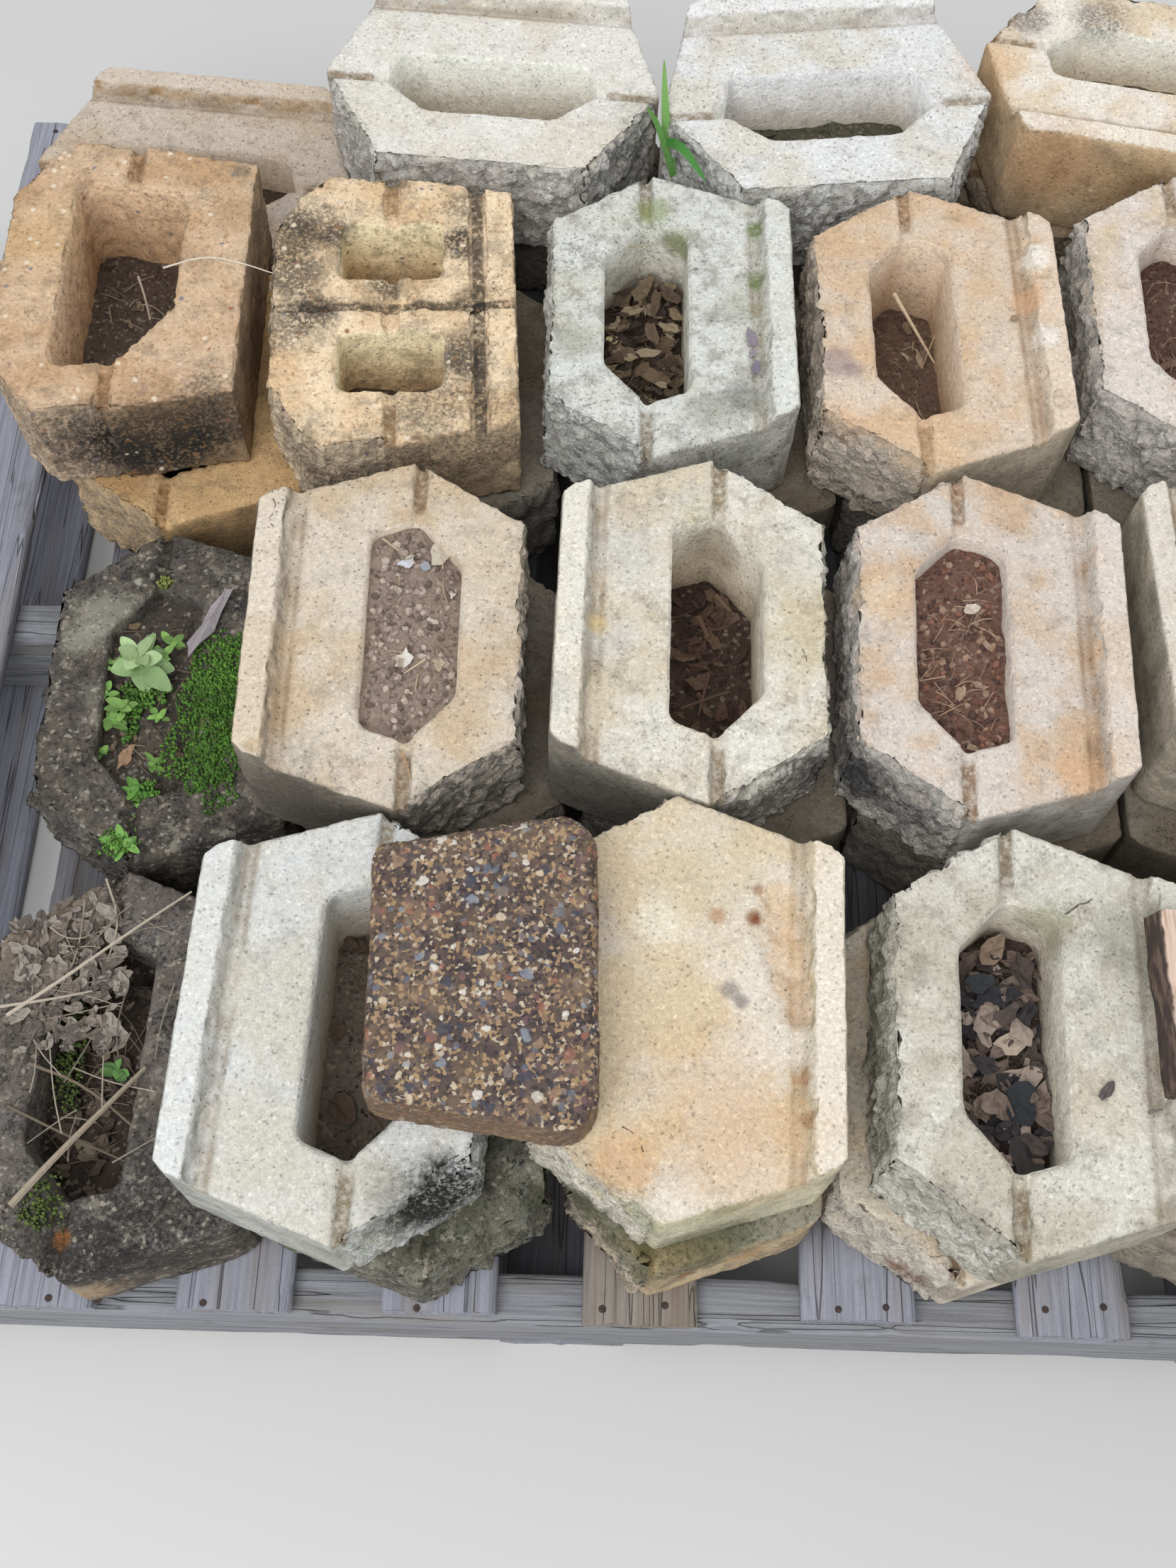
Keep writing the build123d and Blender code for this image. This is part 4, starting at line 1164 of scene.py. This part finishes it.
# Single sticks and straws: pixels and heights in mm along each, radius in mm, colour.
sticks = [
    ([(230, 378, 318), (290, 360, 324), (345, 372, 320), (386, 386, 318)], 0.8, (214, 204, 186)),
    ([(292, 362, 322), (330, 375, 322)], 0.5, (204, 194, 174)),
    ([(195, 390, 262), (205, 420, 258), (212, 452, 250)], 1.2, (170, 158, 142)),
    ([(1262, 415, 300), (1285, 455, 275), (1318, 512, 240)], 1.8, (214, 192, 164)),
    ([(1320, 470, 244), (1300, 520, 238)], 1.0, (180, 156, 128)),
    ([(0, 1420, 224), (70, 1410, 232), (130, 1398, 226)], 1.3, (176, 164, 148)),
    ([(10, 1432, 224), (90, 1380, 236), (190, 1310, 232), (270, 1258, 226)], 1.6, (184, 172, 154)),
    ([(15, 1700, 226), (70, 1640, 236), (140, 1570, 232), (205, 1506, 226)], 3.0, (150, 138, 120)),
    ([(40, 1500, 222), (120, 1530, 214), (200, 1600, 205)], 1.4, (120, 108, 92)),
    ([(10, 1560, 222), (90, 1600, 214), (180, 1640, 200)], 1.2, (108, 98, 84)),
    ([(150, 1240, 222), (170, 1300, 226), (150, 1360, 222)], 1.0, (170, 158, 140)),
    ([(60, 1300, 222), (100, 1330, 226), (150, 1310, 222)], 0.8, (160, 150, 132)),
    ([(120, 1270, 222), (110, 1350, 226), (70, 1420, 222)], 0.8, (150, 140, 124)),
    ([(1355, 735, 300), (1372, 750, 300), (1385, 730, 302)], 0.7, (214, 198, 168)),
    ([(1420, 700, 300), (1432, 720, 312), (1446, 748, 318)], 0.5, (190, 174, 148)),
    ([(565, 1058, 314), (572, 1072, 316), (580, 1100, 314)], 1.0, (170, 140, 104)),
    ([(985, 870, 244), (1000, 900, 240)], 2.6, (104, 80, 66)),
    ([(1000, 950, 240), (985, 1010, 240)], 1.8, (90, 68, 60)),
    ([(1010, 840, 246), (1030, 862, 244)], 2.2, (114, 92, 74)),
    ([(960, 1000, 240), (1000, 985, 240), (1030, 975, 242)], 1.4, (96, 76, 64)),
    ([(540, 760, 306), (580, 790, 306)], 1.2, (180, 162, 136)),
    ([(600, 930, 306), (570, 950, 304)], 0.9, (200, 180, 150)),
    ([(1620, 1570, 318), (1640, 1565, 319)], 1.2, (120, 112, 104)),
    ([(860, 350, 300), (930, 345, 304)], 0.8, (170, 160, 130)),
]
for line, radius, tone in sticks:
    points, faces = stick([seen(*spot) for spot in line], radius / 1000, 0.5)
    litter.add(points, faces, tone)
# Single flakes: pixel, height, length and width in mm, turn in degrees, colour.
# One that the photograph shows in a core lies on that core's soil or pile, whatever its height here.
single_flakes = [
    (575, 795, 308, 13, 10, 30, (196, 196, 200)), (620, 785, 309, 20, 14, 100, (190, 180, 162)),
    (570, 930, 308, 16, 10, 60, (210, 204, 194)), (600, 800, 308, 10, 8, 0, (150, 152, 158)),
    (1515, 1450, 318, 40, 12, 80, (138, 122, 112)), (1562, 1540, 317, 18, 6, 50, (92, 84, 84)),
    (1060, 480, 317, 19, 8, 95, (138, 128, 138)), (1066, 520, 317, 13, 6, 80, (124, 118, 130)),
    (1062, 500, 317, 9, 6, 60, (146, 136, 142)), (1400, 1410, 278, 34, 20, 10, (52, 52, 56)),
    (1440, 1560, 276, 30, 24, 70, (48, 50, 54)), (1380, 1390, 276, 20, 14, 30, (56, 58, 62)),
    (1430, 1470, 276, 30, 18, 20, (178, 162, 144)), (1400, 1340, 276, 30, 14, 60, (140, 120, 104)),
    (1445, 1640, 272, 34, 20, 100, (62, 58, 58)), (905, 350, 296, 12, 9, 0, (200, 192, 168)),
    (938, 345, 298, 10, 8, 40, (206, 196, 170)), (865, 480, 300, 11, 8, 0, (204, 186, 136)),
    (905, 410, 268, 30, 12, 60, (118, 102, 80)), (920, 470, 268, 26, 12, 100, (104, 88, 70)),
    (890, 440, 266, 22, 10, 30, (142, 126, 100)), (925, 430, 270, 30, 10, 80, (98, 82, 64)),
    (915, 500, 266, 20, 10, 10, (150, 134, 110)), (178, 1068, 210, 22, 10, 75, (150, 122, 96)),
    (295, 878, 224, 62, 12, 68, (158, 150, 152)), (1430, 450, 316, 8, 6, 0, (150, 128, 104)),
    (990, 870, 242, 26, 10, 40, (90, 70, 58)), (1005, 905, 242, 22, 9, 120, (104, 82, 68)),
    (1370, 860, 300, 12, 8, 30, (196, 184, 168)), (1335, 770, 302, 8, 7, 0, (214, 206, 194)),
]
piles = {name: pile for name, _, _, _, pile, _ in flakes}
for column, row, height, length, width, turned_by, tone in single_flakes:
    points, faces = flake(litter_rng, length / 1000, width / 1000, 0.0008, 0.05)
    spin = np.array(Matrix.Rotation(math.radians(turned_by), 3, "Z"))
    spot = seen(column, row, height)
    for name in soils:
        turned, middle = stands(name)
        local = ((spot[:2] - middle) @ turned)[None]
        if any(inside(local, plan, 0.004)[0] for plan in core_plans[blocks[name][1]]):
            spot = seen(column, row, soil_height(local, name)[0] * 1000 + piles.get(name, 2))
            break
    litter.add(points @ spin.T + spot + (0, 0, 0.0015), faces, tone)
litter.finish("dead_litter", paint("litter", toned(0.3, 0.004, 0.85)), smooth=False)


# Living growth: moss carpets, a rosette and small weeds on the lower blocks, and a grass shoot at the back.
# Moss is short tufts set close together, each weed is a ring of folded leaves, and a blade is a thin ribbon.
def leaf(length, width, bend, fold=0.25, steps=9):
    """Living leaf along +X with its midrib folded in and its tip bent down."""
    t = np.linspace(0, 1, steps)
    half = width / 2 * np.sin(math.pi * np.clip(t * 0.96 + 0.02, 0, 1)) ** 0.6
    points, faces = [], []
    for x, h, z in zip(t * length, half, -bend * length * t ** 2):
        points += [(x, share * h, z + abs(share) ** 1.3 * fold * h) for share in (-1, -0.5, 0, 0.5, 1)]
    for i in range(steps - 1):
        faces += [(5 * i + k, 5 * i + k + 1, 5 * i + k + 6, 5 * i + k + 5) for k in range(4)]
    return np.array(points), faces


growth_rng = np.random.default_rng(23)
growth = Heap()
# Moss: pixel, height, half width and half depth in mm, how many tufts, colour.
moss_spots = [
    (310, 1000, 221, 40, 66, 1700, (84, 122, 50)), (318, 950, 221, 24, 34, 500, (94, 136, 56)),
    (300, 1090, 221, 24, 30, 500, (78, 114, 46)), (200, 1125, 212, 16, 14, 220, (92, 136, 58)),
    (165, 1190, 221, 14, 10, 180, (88, 130, 52)), (185, 1000, 210, 12, 26, 240, (84, 124, 52)),
    (105, 1470, 186, 10, 56, 420, (84, 100, 52)), (210, 975, 212, 18, 12, 180, (90, 128, 56)),
    (232, 822, 222, 6, 6, 40, (140, 150, 80)), (60, 1700, 222, 16, 20, 160, (86, 100, 52)),
]
for column, row, height, wide, deep, count, tone in moss_spots:
    middle = seen(column, row, height)
    for _ in range(count):
        angle = growth_rng.uniform(0, math.tau)
        ragged = 1 + 0.22 * math.sin(3 * angle + wide) + 0.14 * math.sin(7 * angle)
        reach = growth_rng.uniform(0, 1) ** 0.6 * ragged
        spot = middle + np.array([math.cos(angle) * wide, math.sin(angle) * deep, 0]) * reach / 1000
        tall = growth_rng.uniform(0.002, 0.0055) * (1.15 - 0.6 * reach)
        lean = growth_rng.uniform(-1, 1, 2) * tall * 0.5
        thin = growth_rng.uniform(0.0007, 0.0015)
        foot = [np.array([math.cos(a), math.sin(a), 0]) * thin for a in np.array([0, 2.1, 4.2]) + angle]
        waist, tip = spot + np.array([*lean * 0.5, tall * 0.5]), spot + (*lean, tall)
        points = [spot + f - (0, 0, 0.002) for f in foot] + [waist + f * 1.3 for f in foot] + [tip]
        growth.add(points, [(0, 1, 4, 3), (1, 2, 5, 4), (2, 0, 3, 5), (3, 4, 6), (4, 5, 6), (5, 3, 6)],
                   varied(growth_rng, tone, 0.7, 1.2))
# Weeds: pixel, height, how many leaves, leaf length and width in mm, how steep, colour.
weeds = [
    (202, 942, 216, 7, 27, 17, 0.35, (150, 178, 122)), (196, 930, 219, 6, 19, 13, 0.7, (166, 190, 138)),
    (172, 1000, 214, 6, 14, 8, 0.5, (120, 154, 82)), (225, 925, 214, 8, 12, 7, 0.5, (124, 160, 86)),
    (245, 905, 216, 6, 11, 6, 0.4, (114, 150, 78)), (160, 1020, 212, 6, 12, 7, 0.5, (108, 144, 72)),
    (185, 1120, 212, 11, 12, 7, 0.6, (98, 144, 64)), (210, 1140, 212, 9, 11, 6, 0.5, (104, 150, 66)),
    (200, 1160, 212, 8, 11, 6, 0.5, (96, 140, 60)), (175, 1190, 221, 9, 13, 7, 0.4, (110, 152, 76)),
    (165, 1510, 190, 6, 11, 7, 0.6, (98, 136, 76)), (180, 940, 214, 8, 10, 6, 0.5, (120, 158, 84)),
    (150, 980, 212, 6, 10, 6, 0.5, (112, 150, 76)), (225, 1010, 212, 6, 9, 5, 0.5, (110, 146, 72)),
    (150, 940, 214, 6, 10, 5, 0.6, (118, 150, 80)), (140, 1060, 208, 6, 9, 5, 0.5, (104, 136, 66)),
    (215, 1080, 210, 6, 9, 5, 0.5, (104, 140, 66)),
]
for column, row, height, count, length, width, steep, tone in weeds:
    root = seen(column, row, height)
    for k in range(count):
        long = length / 1000 * growth_rng.uniform(0.7, 1.15)
        broad = width / 1000 * growth_rng.uniform(0.8, 1.15)
        points, faces = leaf(long, broad, growth_rng.uniform(0.1, 0.5))
        way = Matrix.Rotation(k * 2.4 + growth_rng.uniform(-0.4, 0.4), 3, "Z")
        way = way @ Matrix.Rotation(-steep * growth_rng.uniform(0.6, 1.3), 3, "Y")
        way = way @ Matrix.Rotation(growth_rng.uniform(-0.3, 0.3), 3, "X")
        shift = growth_rng.uniform(-1, 1, 3) * (0.003, 0.003, 0.001)
        growth.add(points @ np.array(way).T + root + shift, faces, varied(growth_rng, tone, 0.85, 1.15))
# Grass blades: pixels and heights in mm along each, greatest width in mm, colour.
blades = [
    ([(950, 250, 262), (940, 190, 300), (938, 140, 328), (937, 84, 352)], 8, (122, 168, 92)),
    ([(950, 250, 262), (930, 178, 312), (912, 150, 334)], 6, (108, 156, 84)),
    ([(940, 200, 300), (962, 205, 318), (996, 256, 306)], 8, (74, 132, 62)),
]
for path, width, tone in blades:
    line = smooth_line([seen(*spot) for spot in path])
    across = np.cross(np.gradient(line, axis=0), np.array(camera.matrix_world.translation) - line)
    across /= np.linalg.norm(across, axis=1)[:, None]
    taper = np.sin(math.pi * (0.25 + 0.75 * np.linspace(0, 1, len(line))))
    half = width / 2000 * np.clip(taper, 0.04, 1)[:, None]
    points = np.stack((line - across * half, line - (0, 0, 0.0008), line + across * half), 1).reshape(-1, 3)
    faces = [(i, i + 1, i + 4, i + 3) for i in range(3 * len(line) - 3) if i % 3 < 2]
    growth.add(points, faces, tone)
growth.finish("living_growth", paint("leaf_green", toned(0.18, 0.005, 0.6)))
